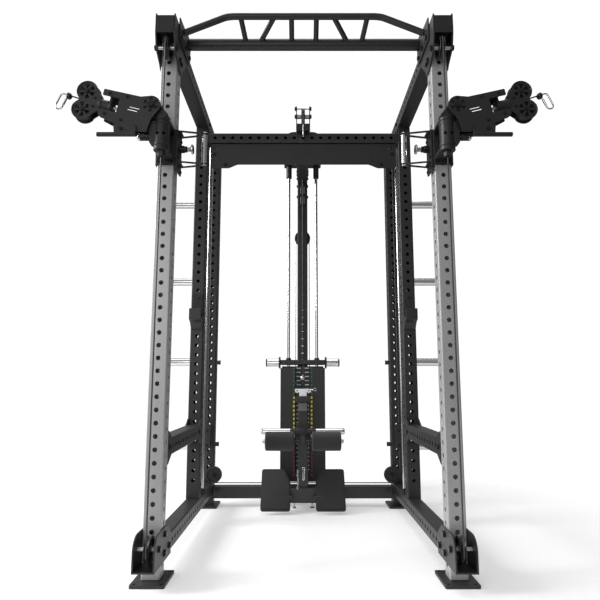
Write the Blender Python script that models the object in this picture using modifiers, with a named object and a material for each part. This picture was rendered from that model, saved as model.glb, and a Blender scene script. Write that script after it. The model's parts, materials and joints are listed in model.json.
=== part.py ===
"""Power cage with two swivelling cable arms, a weight stack, a lat pulley and knee rollers.

Metres, +Z up, floor at Z = 0. The cage opens towards -Y, and X = 0 is its plane of symmetry.
"""

import math

import bmesh
import bpy
from mathutils import Matrix, Vector

# ---- Driving sizes -------------------------------------------------------------------------
GAP = 0.0003  # between pieces that touch
TUBE = 0.070  # square tube of the cage
WALL = 0.003
POST_X = 0.573  # centre line of the side posts
POST_TOP = 2.170
FRONT_BAY = 0.790  # front face to front face of the front and middle posts
REAR_BAY = 0.470
MAST_BAY = 0.340  # rear post front face to mast front face
FOOT_SIZE = (0.130, 0.170)
FOOT_THICK = 0.012
PLATE = 0.006  # welded and bolted plates
PLY = 0.005  # light plates of the arms and covers
BOLT_R = 0.008
HEAD_R = 0.014
HEAD_T = 0.009
CABLE_R = 0.003
RAIL_Z = 0.072  # underside of the base rails
LOWER_RAIL_Z = 0.448
BEAM_NOSE = 0.080  # top beam ahead of the front posts
BEAM_CAP = 0.076
CROSS_H = 0.058
CROSS_Z = 2.080
SWIVEL_AHEAD = 0.095  # swivel axis ahead of the front posts
SWIVEL_R = 0.031
SWIVEL_BORE = 0.022
SWIVEL_LOW = 1.661
SWIVEL_HIGH = 1.765
CABLE_X = 0.567  # plane of the front cable and its pulleys
TROLLEY_LOW = 1.625
TROLLEY_HIGH = 1.778
SLIDE_FIT = 0.0025  # liner clearance between trolley and post
PIN_Z = 1.708
GRIP_X = 0.420
GRIP_R = 0.012
PIN_R = 0.008
PIN_FIT = 0.0006
CABLE_HOLE_R = 0.0095
NECK_OUT = 0.007  # reach of the lugs' necks outwards from the cable
TROLLEY_UP = 0.150  # travel of the trolleys from rest
TROLLEY_DOWN = 0.950
COLLAR_LONG = 0.032  # the trolley pin's threaded collar
COLLAR_WIDE = 0.0155
PIN_THROW = 0.014
KNOB_LONG = 0.010
SHOULDER_X = 0.605
SHOULDER_Z = 1.821
ARM_TILT = math.radians(13.0)
ARM_HALF = 0.033  # swivel plane to the inner face of an arm plate
ARM_AXIS_DROP = 0.032  # collar axis below the shoulder axis, across the arm
ARM_TIP = 0.269  # shoulder to the line between the two tip pulleys, along the arm
TIP_SPREAD = 0.078  # between the two tip pulley axles
COLLAR_R = 0.026
SPINDLE_R = 0.0085
TIP_AXLE_R = 0.006
ARM_PULLEY_R = 0.036
LEVER_R = 0.009
LEVER_OFF = 0.010  # lever rod's axis ahead of the front arm plate
CARABINER_LONG = 0.075
CARABINER_WIDE = 0.034
WIRE_R = 0.0033
PULLEY_W = 0.020
BOTTOM_PULLEY_R = 0.047
BOTTOM_PULLEY_Z = 0.137
TOP_PULLEY_R = 0.046
TOP_PULLEY_Z = 2.115
DISC_R = 0.048
DISC_X = 0.530
BLOCK_Z = 0.345  # underside of the floating pulley blocks
BLOCK_H = 0.140
DISC_BACK = 0.030  # disc pulley centre ahead of the rear posts
RUN_CLEAR = 0.003  # running clearance of the moving pieces
GROOVE = 0.006  # depth of a pulley groove
CABLE_SEAT = 0.001  # between a cable and the bottom of its groove
STACK_Y_AHEAD = 0.100  # stack centre line ahead of the mast front face
STACK_HALF = (0.135, 0.070)
SHROUD_HALF = 0.143
SHROUD_LOW = 0.130
STACK_LOW = 0.150
STACK_TOP = 0.830
PLATE_PITCH = 0.0265
LIFTED_PLATES = 3
TOP_BLOCK = 0.043
ROD_X = 0.0935
ROD_R = 0.0095
SOCKET_R = 0.019
ROD_TOP = 2.225
ROD_FIT = 0.001  # round the rods, in the plates
HORN_R = 0.024
HORN_LONG = 0.290
HORN_FLANGE_R = 0.040
HORN_Z = (0.350, 0.860, 1.370, 1.880)
PULL_BAR_R = 0.026
PULL_BAR_Z = 2.268
PULL_BAR_BACK = 0.160  # behind the front posts' front face
GRIP_BAR_R = 0.0145
GRIP_BAR_Z = 2.335
GRIP_BAR_BACK = 0.055
BASE_BEAM_Z = 0.048
SPINE_LOW = 2.1385
SPINE_H = 0.040
LAT_PULLEY_Z = 2.226
LAT_PULLEY_R = 0.045
BRACKET_X = 0.0395  # outer face of the lat bracket's plates
KEEPER_R = 0.0045
STACK_PULLEY_Z = 1.758
STACK_PULLEY_R = 0.056
LAT_AHEAD = 0.020  # lat pulley centre ahead of the crossbeam's front face
KNEE_POST = 0.060
KNEE_POST_TOP = 0.690
ROLLER_R = 0.053
ROLLER_LONG = 0.165
ROLLER_Z = 0.405
SHAFT_R = 0.008
SHAFT_FIT = 0.0015
AXLE_FIT = 0.001  # round the bolts that carry the pulleys
FACETS = 16
WHEEL_FACETS = 20

# ---- Places worked out from the sizes ------------------------------------------------------
MAST_FOOT_BEHIND = 0.090
DEPTH_AHEAD = SWIVEL_AHEAD + ARM_HALF + PLY + LEVER_OFF + LEVER_R
DEPTH = DEPTH_AHEAD + FRONT_BAY + REAR_BAY + MAST_BAY + TUBE + MAST_FOOT_BEHIND
FRONT_Y = -DEPTH / 2 + DEPTH_AHEAD
MIDDLE_Y = FRONT_Y + FRONT_BAY
REAR_Y = MIDDLE_Y + REAR_BAY
MAST_Y = REAR_Y + MAST_BAY
HALF = TUBE / 2
INNER_X = POST_X - HALF
OUTER_X = POST_X + HALF
SWIVEL_Y = FRONT_Y - SWIVEL_AHEAD
STACK_Y = MAST_Y - STACK_Y_AHEAD
DISC_Y = REAR_Y - DISC_BACK - PULLEY_W / 2
DISC_Z = RAIL_Z + TUBE + DISC_R + RUN_CLEAR
LIFT_LOW = STACK_TOP - LIFTED_PLATES * PLATE_PITCH
SHROUD_FACE_Y = STACK_Y - STACK_HALF[1] - 0.022


def wrap(radius):
    """Returns the radius of the cable's centre line on a pulley."""
    return radius - GROOVE + CABLE_R + CABLE_SEAT


TOP_PULLEY_Y = SWIVEL_Y + wrap(TOP_PULLEY_R)
BOTTOM_PULLEY_Y = SWIVEL_Y + wrap(BOTTOM_PULLEY_R)
LAT_Y = MIDDLE_Y - LAT_AHEAD
LAT_BACK_Y = STACK_Y - wrap(LAT_PULLEY_R)
COLUMN_X = DISC_X + wrap(DISC_R)

COLOURS = {
    "grey_paint": ((0.50, 0.50, 0.51), 0.5, 0.3),
    "black_paint": ((0.035, 0.035, 0.037), 0.45, 0.2),
    "chrome": ((0.75, 0.75, 0.76), 0.18, 1.0),
    "foam": ((0.03, 0.03, 0.03), 0.8, 0.0),
    "rubber": ((0.02, 0.02, 0.02), 0.7, 0.0),
    "nylon": ((0.025, 0.025, 0.027), 0.4, 0.0),
    "cable": ((0.06, 0.06, 0.06), 0.4, 0.0),
    "cast_iron": ((0.05, 0.05, 0.05), 0.6, 0.4),
}


# ---- Modelling helpers ---------------------------------------------------------------------
def fresh_collection(name, is_cutters=False):
    """Returns a new collection linked to the scene."""
    group = bpy.data.collections.new(name)
    bpy.context.scene.collection.children.link(group)
    group.hide_render = is_cutters
    return group


def link(name, mesh):
    """Returns a new object of that mesh in the parts collection."""
    obj = bpy.data.objects.new(name, mesh)
    PARTS.objects.link(obj)
    return obj


def from_bmesh(name, shape):
    """Returns an object made of the bmesh, which is freed."""
    mesh = bpy.data.meshes.new(name)
    bmesh.ops.recalc_face_normals(shape, faces=shape.faces[:])
    shape.to_mesh(mesh)
    shape.free()
    return link(name, mesh)


def box(low, high, name="piece"):
    """Returns a block between two corners."""
    low, high = Vector(low), Vector(high)
    shape = bmesh.new()
    size = Matrix.Diagonal((*(high - low), 1.0))
    bmesh.ops.create_cube(shape, size=1.0, matrix=Matrix.Translation((low + high) / 2) @ size)
    return from_bmesh(name, shape)


def bar(start, end, radius, name="piece", facets=FACETS, far_radius=None):
    """Returns a round bar, or a cone, between two points."""
    start, end = Vector(start), Vector(end)
    turn = (end - start).to_track_quat("Z", "Y").to_matrix().to_4x4()
    shape = bmesh.new()
    bmesh.ops.create_cone(
        shape,
        cap_ends=True,
        segments=facets,
        radius1=radius,
        radius2=radius if far_radius is None else far_radius,
        depth=(end - start).length,
        matrix=Matrix.Translation((start + end) / 2) @ turn,
    )
    return from_bmesh(name, shape)


def as_mesh(obj, name):
    """Returns a welded mesh object in place of a curve or of an object with modifiers."""
    bpy.context.view_layer.update()
    graph = bpy.context.evaluated_depsgraph_get()
    mesh = bpy.data.meshes.new_from_object(obj.evaluated_get(graph), depsgraph=graph)
    mesh.transform(obj.matrix_world)
    bpy.data.objects.remove(obj)
    shape = bmesh.new()
    shape.from_mesh(mesh)
    bmesh.ops.remove_doubles(shape, verts=shape.verts[:], dist=1e-5)
    bpy.data.meshes.remove(mesh)
    return from_bmesh(name, shape)


def slab(outline, axis, start, end, holes=(), name="piece"):
    """Returns a flat plate: a closed outline, with holes, extruded along a world axis.

    The outline's points are (Y, Z) for axis X, (X, Z) for axis Y and (X, Y) for axis Z.
    """
    curve = bpy.data.curves.new(name, "CURVE")
    curve.dimensions = "2D"
    curve.fill_mode = "BOTH"
    curve.extrude = abs(end - start) / 2
    for loop in (outline, *holes):
        spline = curve.splines.new("POLY")
        spline.points.add(len(loop) - 1)
        for point, (across, up) in zip(spline.points, loop):
            point.co = (across, up, 0.0, 1.0)
        spline.use_cyclic_u = True
    plane = {
        "X": Matrix(((0, 0, 1, 0), (1, 0, 0, 0), (0, 1, 0, 0), (0, 0, 0, 1))),
        "Y": Matrix(((1, 0, 0, 0), (0, 0, -1, 0), (0, 1, 0, 0), (0, 0, 0, 1))),
        "Z": Matrix.Identity(4),
    }[axis]
    middle = Vector((0, 0, 0))
    middle["XYZ".index(axis)] = (start + end) / 2
    obj = bpy.data.objects.new(name, curve)
    PARTS.objects.link(obj)
    obj.matrix_world = Matrix.Translation(middle) @ plane
    return as_mesh(obj, name)


def pipe(points, radius, name="piece", sides=2):
    """Returns a round tube along the points, with closed ends."""
    curve = bpy.data.curves.new(name, "CURVE")
    curve.dimensions = "3D"
    curve.bevel_depth = radius
    curve.bevel_resolution = sides
    curve.use_fill_caps = True
    spline = curve.splines.new("POLY")
    spline.points.add(len(points) - 1)
    for point, place in zip(spline.points, points):
        point.co = (*place, 1.0)
    obj = bpy.data.objects.new(name, curve)
    PARTS.objects.link(obj)
    return as_mesh(obj, name)


def turned(profile, place, axis, name="piece", facets=FACETS):
    """Returns a turned shape: a closed profile of (radius, height) spun round an axis."""
    mesh = bpy.data.meshes.new(name)
    shape = bmesh.new()
    ring = [shape.verts.new((radius, 0.0, height)) for radius, height in profile]
    for first, second in zip(ring, ring[1:] + ring[:1]):
        shape.edges.new((first, second))
    shape.to_mesh(mesh)
    shape.free()
    obj = link(name, mesh)
    screw = obj.modifiers.new("Screw", "SCREW")
    screw.steps = facets
    screw.render_steps = facets
    screw.use_merge_vertices = True
    screw.merge_threshold = 1e-5
    turn = Vector(axis).to_track_quat("Z", "Y").to_matrix().to_4x4()
    obj.matrix_world = Matrix.Translation(place) @ turn
    return as_mesh(obj, name)


def combine(base, others, operation):
    """Returns base after a Boolean with each of the others, which are used up."""
    for other in others:
        step = base.modifiers.new("Boolean", "BOOLEAN")
        step.operation = operation
        step.object = other
        step.solver = "EXACT"
        base = as_mesh(base, base.name)
        bpy.data.objects.remove(other)
    return base


def fuse(*pieces):
    """Returns the union of overlapping pieces as one body."""
    return combine(pieces[0], pieces[1:], "UNION")


def carve(base, *cutters):
    """Returns base with the cutters' shapes taken away."""
    return combine(base, cutters, "DIFFERENCE")


def finish_part(obj, name, paint, origin=None):
    """Names the part, gives it its material and puts its origin on its joint."""
    obj.name = name
    obj.data.name = name
    obj.data.materials.clear()
    obj.data.materials.append(MATERIALS[paint])
    obj.data.shade_smooth()
    obj.data.set_sharp_from_angle(angle=math.radians(35))
    if origin is not None:
        place = Vector(origin)
        obj.data.transform(Matrix.Translation(-place))
        obj.location = place
    return obj


def mirrored(obj):
    """Returns obj turned into its mirror image across X = 0."""
    obj.data.transform(Matrix.Diagonal((-1, 1, 1, 1)))
    obj.data.flip_normals()
    return obj


def side_name(name, side):
    """Returns a part's name on that side: -1 is left, 1 is right."""
    return f"{name}_left" if side < 0 else f"{name}_right"


def for_side(obj, side):
    """Parts are modelled at -X: the right one is the mirror image."""
    return mirrored(obj) if side > 0 else obj


def square_tube(low, high, axis):
    """Returns an open-ended square tube between two corners, along a world axis."""
    index = "XYZ".index(axis)
    inner_low = [value + WALL for value in low]
    inner_high = [value - WALL for value in high]
    inner_low[index] = low[index] - TUBE
    inner_high[index] = high[index] + TUBE
    return carve(box(low, high), box(inner_low, inner_high))


def circle(centre, radius, facets=FACETS):
    """Returns the points of a circle."""
    steps = [2 * math.pi * step / facets for step in range(facets)]
    return [(centre[0] + radius * math.cos(a), centre[1] + radius * math.sin(a)) for a in steps]


def arc(centre, radius, start, end, steps=8):
    """Returns the points of an arc between two angles in degrees."""
    angles = [math.radians(start + (end - start) * step / steps) for step in range(steps + 1)]
    return [(centre[0] + radius * math.cos(a), centre[1] + radius * math.sin(a)) for a in angles]


def pulley(centre, axis, radius, bore, width=PULLEY_W):
    """Returns a grooved pulley wheel with a bore."""
    half = width / 2
    root = radius - GROOVE
    profile = [
        (bore, half),
        (radius, half),
        (root, half * 0.3),
        (root, -half * 0.3),
        (radius, -half),
        (bore, -half),
    ]
    return turned(profile, centre, axis, facets=WHEEL_FACETS)


def ring_link(centre, long, wide, radius, tilt=0.0, facing="Y"):
    """Returns a carabiner's closed oval link, its long side along Z before the tilt."""
    half = wide / 2 - radius
    reach = long / 2 - radius - half
    flat = arc((0, reach), half, 0, 180, 8) + arc((0, -reach), half, 180, 360, 8)
    points = []
    for across, up in flat:
        turned_across = across * math.cos(tilt) - up * math.sin(tilt)
        turned_up = across * math.sin(tilt) + up * math.cos(tilt)
        if facing == "Y":
            points.append((centre[0] + turned_across, centre[1], centre[2] + turned_up))
        else:
            points.append((centre[0], centre[1] + turned_across, centre[2] + turned_up))
    curve = bpy.data.curves.new("link", "CURVE")
    curve.dimensions = "3D"
    curve.bevel_depth = radius
    curve.bevel_resolution = 2
    spline = curve.splines.new("POLY")
    spline.points.add(len(points) - 1)
    for point, place in zip(spline.points, points):
        point.co = (*place, 1.0)
    spline.use_cyclic_u = True
    obj = bpy.data.objects.new("link", curve)
    PARTS.objects.link(obj)
    return as_mesh(obj, "link")


# ---- Frame ---------------------------------------------------------------------------------
def build_upright(name, front, paint, side, horns=False, foot=True):
    """One post with its foot plate; the rear ones carry horns, the front ones have pin holes."""
    low = (-OUTER_X, front, FOOT_THICK if foot else RAIL_Z + TUBE + GAP)
    high = (-INNER_X, front + TUBE, POST_TOP - GAP)
    post = square_tube(low, high, "Z")
    if foot:
        middle = front + HALF
        half_x, half_y = FOOT_SIZE[0] / 2, FOOT_SIZE[1] / 2
        plate = box(
            (-POST_X - half_x, middle - half_y, 0),
            (-POST_X + half_x, middle + half_y, FOOT_THICK + 0.0001),
        )
        post = fuse(post, plate)
    if horns:
        middle = front + HALF
        for height in HORN_Z:
            tip = -OUTER_X - HORN_LONG
            root = (-OUTER_X + 0.001, middle, height)
            horn = bar((tip, middle, height), root, HORN_R)
            flange = bar((-OUTER_X - 0.010, middle, height), root, HORN_FLANGE_R)
            post = fuse(post, fuse(horn, flange))
    if front == FRONT_Y:
        for height in (PIN_Z - TROLLEY_DOWN, PIN_Z, PIN_Z + TROLLEY_UP):
            start = (-INNER_X - 0.010, front + HALF, height)
            end = (-INNER_X + 0.010, front + HALF, height)
            post = carve(post, bar(start, end, PIN_R + PIN_FIT))
    finish_part(for_side(post, side), side_name(name, side), paint)


def build_base_rail(side):
    """Base side rail from the front post to the rear post, with round-nosed pulley cheeks."""
    rail_top = RAIL_Z + TUBE
    low = (-OUTER_X, FRONT_Y + TUBE + GAP, RAIL_Z)
    rail = square_tube(low, (-INNER_X, REAR_Y - GAP, rail_top), "Y")
    axle_y = BOTTOM_PULLEY_Y
    nose_r = BOTTOM_PULLEY_R + 0.009
    outline = [
        (FRONT_Y + TUBE + 0.075, RAIL_Z - 0.004),
        (FRONT_Y + TUBE + 0.075, rail_top + 0.004),
        (FRONT_Y + TUBE + 0.010, rail_top + 0.050),
        (FRONT_Y - 0.010, BOTTOM_PULLEY_Z + nose_r),
    ]
    outline += arc((axle_y, BOTTOM_PULLEY_Z), nose_r, 90, 180, 6)
    outline += [(axle_y - nose_r, RAIL_Z - 0.004)]
    pieces = [rail]
    for inner in (-OUTER_X - GAP - PLATE, -INNER_X + GAP):
        pieces.append(slab(outline, "X", inner, inner + PLATE))
    bridge_low = (-OUTER_X - GAP - PLATE / 2, axle_y - nose_r, RAIL_Z - 0.004)
    bridge_high = (-INNER_X + GAP + PLATE / 2, FRONT_Y - GAP, RAIL_Z + 0.002)
    pieces.append(box(bridge_low, bridge_high))
    start_x, end_x = -OUTER_X - PLATE - HEAD_T, -INNER_X + PLATE + HEAD_T
    bolt = (FRONT_Y + TUBE + 0.040, RAIL_Z + HALF)
    pieces.append(bar((start_x, *bolt), (end_x, *bolt), HEAD_R, facets=12))
    axle = (axle_y, BOTTOM_PULLEY_Z)
    pieces.append(bar((start_x, *axle), (end_x, *axle), BOLT_R, facets=12))
    rail = fuse(*pieces)
    finish_part(for_side(rail, side), side_name("base_rail", side), "black_paint")


def build_lower_rail(side):
    """Lower side rail between the front and middle posts, with flared end plates."""
    start, end = FRONT_Y + TUBE + GAP, MIDDLE_Y - GAP
    low, high = LOWER_RAIL_Z, LOWER_RAIL_Z + TUBE
    rail = square_tube((-OUTER_X, start, low), (-INNER_X, end, high), "Y")
    flare = [
        (start, low - 0.030),
        (start + PLATE, low - 0.030),
        (start + 0.060, low + 0.001),
        (start + 0.060, high - 0.001),
        (start + PLATE, high + 0.030),
        (start, high + 0.030),
    ]
    back = [(start + end - across, up) for across, up in flare]
    pieces = [rail]
    for outline in (flare, back):
        for inner in (-OUTER_X, -INNER_X - PLATE):
            pieces.append(slab(outline, "X", inner, inner + PLATE))
    rail = fuse(*pieces)
    finish_part(for_side(rail, side), side_name("lower_rail", side), "black_paint")


def build_top_beam(side):
    """Top side beam on the three posts, with its end cap, chevron plates and pulley axle."""
    nose = FRONT_Y - BEAM_NOSE
    low, high = POST_TOP, POST_TOP + TUBE
    beam = square_tube((-OUTER_X, nose, low), (-INNER_X, REAR_Y + TUBE, high), "Y")
    cap = box(
        (-OUTER_X - GAP - PLATE / 2, nose - PLATE / 2, high - BEAM_CAP),
        (-INNER_X + GAP + PLATE / 2, nose + PLATE / 2, high + 0.001),
    )
    axle_y = TOP_PULLEY_Y
    outline = [
        (nose - PLATE, high + 0.008),
        (nose - PLATE, high - BEAM_CAP),
        (axle_y - 0.018, TOP_PULLEY_Z - 0.014),
        (FRONT_Y - 0.006, low - 0.100),
        (FRONT_Y + 0.010, low - 0.115),
        (FRONT_Y + TUBE - 0.008, low - 0.115),
        (FRONT_Y + TUBE + 0.010, low - 0.085),
        (FRONT_Y + TUBE + 0.100, low),
        (FRONT_Y + TUBE + 0.130, high + 0.008),
    ]
    pieces = [beam, cap]
    for inner in (-OUTER_X - GAP - PLATE, -INNER_X + GAP):
        pieces.append(slab(outline, "X", inner, inner + PLATE))
    start = (-OUTER_X - PLATE - HEAD_T, axle_y, TOP_PULLEY_Z)
    end = (-INNER_X + PLATE + HEAD_T, axle_y, TOP_PULLEY_Z)
    pieces.append(bar(start, end, BOLT_R, facets=12))
    beam = fuse(*pieces)
    finish_part(for_side(beam, side), side_name("top_beam", side), "black_paint")


def build_pull_up_bar():
    """Straight lower tube, cranked grip tube, struts and end flanges, as one weldment."""
    flange_x = INNER_X - PLATE - 2 * GAP
    low_y, grip_y = FRONT_Y + PULL_BAR_BACK, FRONT_Y + GRIP_BAR_BACK
    reach = flange_x - PLATE - 0.001
    pieces = [bar((-reach, low_y, PULL_BAR_Z), (reach, low_y, PULL_BAR_Z), PULL_BAR_R)]
    grip_end_z = GRIP_BAR_Z - 0.079
    crank = [(-reach, grip_end_z), (-0.345, GRIP_BAR_Z - 0.004), (-0.315, GRIP_BAR_Z)]
    crank += [(-x, z) for x, z in reversed(crank)]
    pieces.append(pipe([(x, grip_y, z) for x, z in crank], GRIP_BAR_R, sides=4))
    for top, foot in ((0.280, 0.262), (0.130, 0.205), (0.055, 0.055)):
        for flip in (-1, 1):
            start = (flip * foot, low_y, PULL_BAR_Z)
            pieces.append(bar(start, (flip * top, grip_y, GRIP_BAR_Z), 0.0115, facets=12))
    outline = [
        (FRONT_Y - 0.020, POST_TOP + 0.010),
        (FRONT_Y - 0.020, grip_end_z + 0.020),
        (FRONT_Y + 0.085, grip_end_z + 0.030),
        (FRONT_Y + 0.140, PULL_BAR_Z + 0.034),
        (FRONT_Y + 0.195, PULL_BAR_Z + 0.030),
        (FRONT_Y + 0.195, POST_TOP + 0.010),
    ]
    for inner in (-flange_x, flange_x - PLATE):
        pieces.append(slab(outline, "X", inner, inner + PLATE))
    bar_part = fuse(*pieces)
    finish_part(bar_part, "pull_up_bar", "black_paint")


def build_top_crossbeam():
    """Punched crossbeam between the middle posts with end plates."""
    reach = INNER_X - GAP
    low = (-reach, MIDDLE_Y, CROSS_Z)
    high = (reach, MIDDLE_Y + CROSS_H, CROSS_Z + CROSS_H)
    pieces = [box(low, high)]
    for flip in (-1, 1):
        inner, outer = sorted((flip * reach, flip * (reach - PLATE)))
        plate_low = (inner, MIDDLE_Y + 0.0005, CROSS_Z - 0.002)
        pieces.append(box(plate_low, (outer, MIDDLE_Y + TUBE, CROSS_Z + CROSS_H + 0.030)))
    inside_low = (-reach - TUBE, MIDDLE_Y + WALL, CROSS_Z + WALL)
    inside_high = (reach + TUBE, MIDDLE_Y + CROSS_H - WALL, CROSS_Z + CROSS_H - WALL)
    inside = box(inside_low, inside_high)
    finish_part(carve(fuse(*pieces), inside), "top_crossbeam", "black_paint")


def build_header_panel():
    """Plain front panel under the crossbeam with deeper end lobes and a top flange."""
    reach = INNER_X - 0.012
    top, low, lobe = CROSS_Z - 0.004, 1.955, 1.932
    outline = [(-reach, lobe), (-reach + 0.110, lobe), (-reach + 0.165, low)]
    outline += [(-x, z) for x, z in reversed(outline)]
    outline += [(reach, top), (-reach, top)]
    front = MIDDLE_Y + 0.008
    panel = slab(outline, "Y", front, front + PLY)
    flange = box((-reach, front, top - PLY), (reach, front + 0.045, top))
    finish_part(fuse(panel, flange), "header_panel", "black_paint")


def build_low_frame():
    """Rear base beam, spine to the mast foot, stack tray, knee post and foot rests, welded."""
    reach = INNER_X - GAP
    top = BASE_BEAM_Z + TUBE
    beam = box((-reach, REAR_Y, BASE_BEAM_Z), (reach, REAR_Y + TUBE, top))
    spine_low = BASE_BEAM_Z + 0.001
    spine = box((-HALF, REAR_Y + 0.010, spine_low), (HALF, MAST_Y + TUBE + 0.040, top - 0.001))
    foot_end = MAST_Y + TUBE + MAST_FOOT_BEHIND
    foot = box((-0.110, foot_end - 0.140, 0), (0.110, foot_end, 0.010))
    riser_low = (-HALF + 0.002, MAST_Y + 0.010, 0.005)
    riser = box(riser_low, (HALF - 0.002, MAST_Y + TUBE, BASE_BEAM_Z + 0.005))
    bracket_high = (0.090, REAR_Y + 0.010, DISC_Z - DISC_R - 0.010)
    bracket = box((-0.090, REAR_Y - 0.135, BASE_BEAM_Z + 0.002), bracket_high)
    post_y = REAR_Y - 0.090
    half = KNEE_POST / 2
    post = box((-half, post_y - half, BASE_BEAM_Z + 0.010), (half, post_y + half, KNEE_POST_TOP))
    tray_low = (-SHROUD_HALF, SHROUD_FACE_Y, top - 0.002)
    tray_high = (SHROUD_HALF, STACK_Y + STACK_HALF[1], SHROUD_LOW - GAP)
    pieces = [beam, spine, foot, riser, bracket, post, box(tray_low, tray_high)]
    bolt_y = REAR_Y - 0.030
    for flip in (-1, 1):
        x = flip * 0.055
        pieces.append(bar((x, bolt_y, 0), (x, bolt_y, BASE_BEAM_Z + 0.005), 0.013, facets=12))
        x = flip * ROD_X
        bumper_low = (x, STACK_Y, SHROUD_LOW - 0.005)
        pieces.append(bar(bumper_low, (x, STACK_Y, STACK_LOW - GAP), SOCKET_R + 0.004))
        pieces.append(build_foot_rest(flip))
    frame = fuse(*pieces)
    inside_low = (-reach - TUBE, REAR_Y + WALL, BASE_BEAM_Z + WALL)
    inside = box(inside_low, (reach + TUBE, REAR_Y + TUBE - WALL, top - WALL))
    thin = half - WALL
    post_inside = box((-thin, post_y - thin, top), (thin, post_y + thin, KNEE_POST_TOP + TUBE))
    finish_part(carve(frame, inside, post_inside), "low_frame", "black_paint")


def build_foot_rest(flip):
    """One tilted foot plate and the strut that joins it to the bracket."""
    inner, outer = 0.072, 0.241
    foot_low, foot_high = Vector((REAR_Y - 0.205, 0.020)), Vector((REAR_Y - 0.070, 0.229))
    lean = foot_high - foot_low
    length = lean.length
    corner = 0.018
    outline = [
        (outer - corner, 0),
        (outer, corner),
        (outer, length - corner),
        (outer - corner, length),
        (inner + 0.030, length),
        (inner + 0.012, length - corner),
        (inner, corner),
        (inner + corner, 0),
    ]
    if flip < 0:
        outline = [(-x, y) for x, y in reversed(outline)]
    plate = slab(outline, "Z", -PLATE / 2, PLATE / 2)
    turn = Matrix.Rotation(math.atan2(lean.y, lean.x), 4, "X")
    plate.data.transform(Matrix.Translation((0, foot_low.x, foot_low.y)) @ turn)
    low_x, high_x = sorted((flip * 0.060, flip * 0.120))
    strut_low = (low_x, REAR_Y - 0.165, BASE_BEAM_Z + 0.020)
    strut = box(strut_low, (high_x, REAR_Y - 0.120, BASE_BEAM_Z + 0.050))
    return fuse(plate, strut)


def build_centre_mast():
    """Mast, top spine, rear crossbeam and the lat bracket's plates and axles, as one weldment."""
    base = BASE_BEAM_Z + TUBE + GAP
    spine_top = SPINE_LOW + SPINE_H
    mast = box((-HALF, MAST_Y, base), (HALF, MAST_Y + TUBE, spine_top))
    spine = box((-HALF, MIDDLE_Y - 0.030, SPINE_LOW), (HALF, MAST_Y + 0.010, spine_top))
    reach = INNER_X - GAP
    cross = box((-reach, REAR_Y + 0.005, SPINE_LOW), (reach, REAR_Y + TUBE - 0.005, spine_top))
    rest_low = (-HALF + 0.005, STACK_Y + 0.014, spine_top - 0.002)
    rest = box(rest_low, (HALF - 0.005, STACK_Y + 0.034, ROD_TOP - GAP))
    pieces = [mast, spine, cross, rest]
    for place_y in (LAT_Y, LAT_BACK_Y):
        for flip in (-1, 1):
            inner, outer = sorted((flip * 0.0345, flip * BRACKET_X))
            plate_low = (inner, place_y - 0.018, SPINE_LOW + 0.005)
            pieces.append(box(plate_low, (outer, place_y + 0.030, LAT_PULLEY_Z + 0.060)))
        reach = BRACKET_X + HEAD_T
        axle = (place_y, LAT_PULLEY_Z)
        keeper = (place_y + 0.012, LAT_PULLEY_Z + 0.0535)
        pieces.append(bar((-reach, *axle), (reach, *axle), BOLT_R, facets=12))
        pieces.append(bar((-reach, *keeper), (reach, *keeper), KEEPER_R, facets=12))
    wheel_y = MAST_Y + TUBE
    stub = (0, wheel_y - 0.010, STACK_PULLEY_Z)
    pieces.append(bar(stub, (0, wheel_y + 0.040, STACK_PULLEY_Z), BOLT_R, facets=12))
    notch_low = (-0.016, LAT_BACK_Y - 0.060, SPINE_LOW - 0.010)
    notch = box(notch_low, (0.016, STACK_Y + 0.012, spine_top + 0.010))
    thin = HALF - WALL
    mast_high = (thin, MAST_Y + TUBE - WALL, SPINE_LOW + 2 * WALL)
    mast_inside = box((-thin, MAST_Y + WALL, base - TUBE), mast_high)
    spine_low = (-thin, MIDDLE_Y - TUBE, SPINE_LOW + WALL)
    spine_inside = box(spine_low, (thin, MAST_Y + 2 * WALL, spine_top - WALL))
    cross_low = (-INNER_X - TUBE, REAR_Y + 0.005 + WALL, SPINE_LOW + WALL)
    cross_high = (INNER_X + TUBE, REAR_Y + TUBE - 0.005 - WALL, spine_top - WALL)
    mast = carve(fuse(*pieces), notch, mast_inside, spine_inside, box(cross_low, cross_high))
    hub = (LAT_BACK_Y, LAT_PULLEY_Z)
    wheel = bar((-0.012, *hub), (0.012, *hub), LAT_PULLEY_R - GROOVE)
    finish_part(fuse(mast, wheel), "centre_mast", "black_paint")


def build_guide_rods():
    """Top plate with two sockets and the two chrome rods that guide the stack."""
    front, back = STACK_Y - 0.035, STACK_Y + 0.035
    pieces = [box((-0.127, front, ROD_TOP), (0.127, back, ROD_TOP + 0.012))]
    for flip in (-1, 1):
        x = flip * ROD_X
        pieces.append(bar((x, STACK_Y, STACK_LOW), (x, STACK_Y, ROD_TOP + 0.001), ROD_R))
        socket_low = (x, STACK_Y, ROD_TOP - 0.090)
        pieces.append(bar(socket_low, (x, STACK_Y, ROD_TOP + 0.002), SOCKET_R))
    notch_x = BRACKET_X + HEAD_T + GAP
    notch_low = (-notch_x, front - 0.010, ROD_TOP - 0.010)
    notch = box(notch_low, (notch_x, STACK_Y + 0.010, ROD_TOP + 0.030))
    finish_part(carve(fuse(*pieces), notch), "guide_rods", "chrome")


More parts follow.
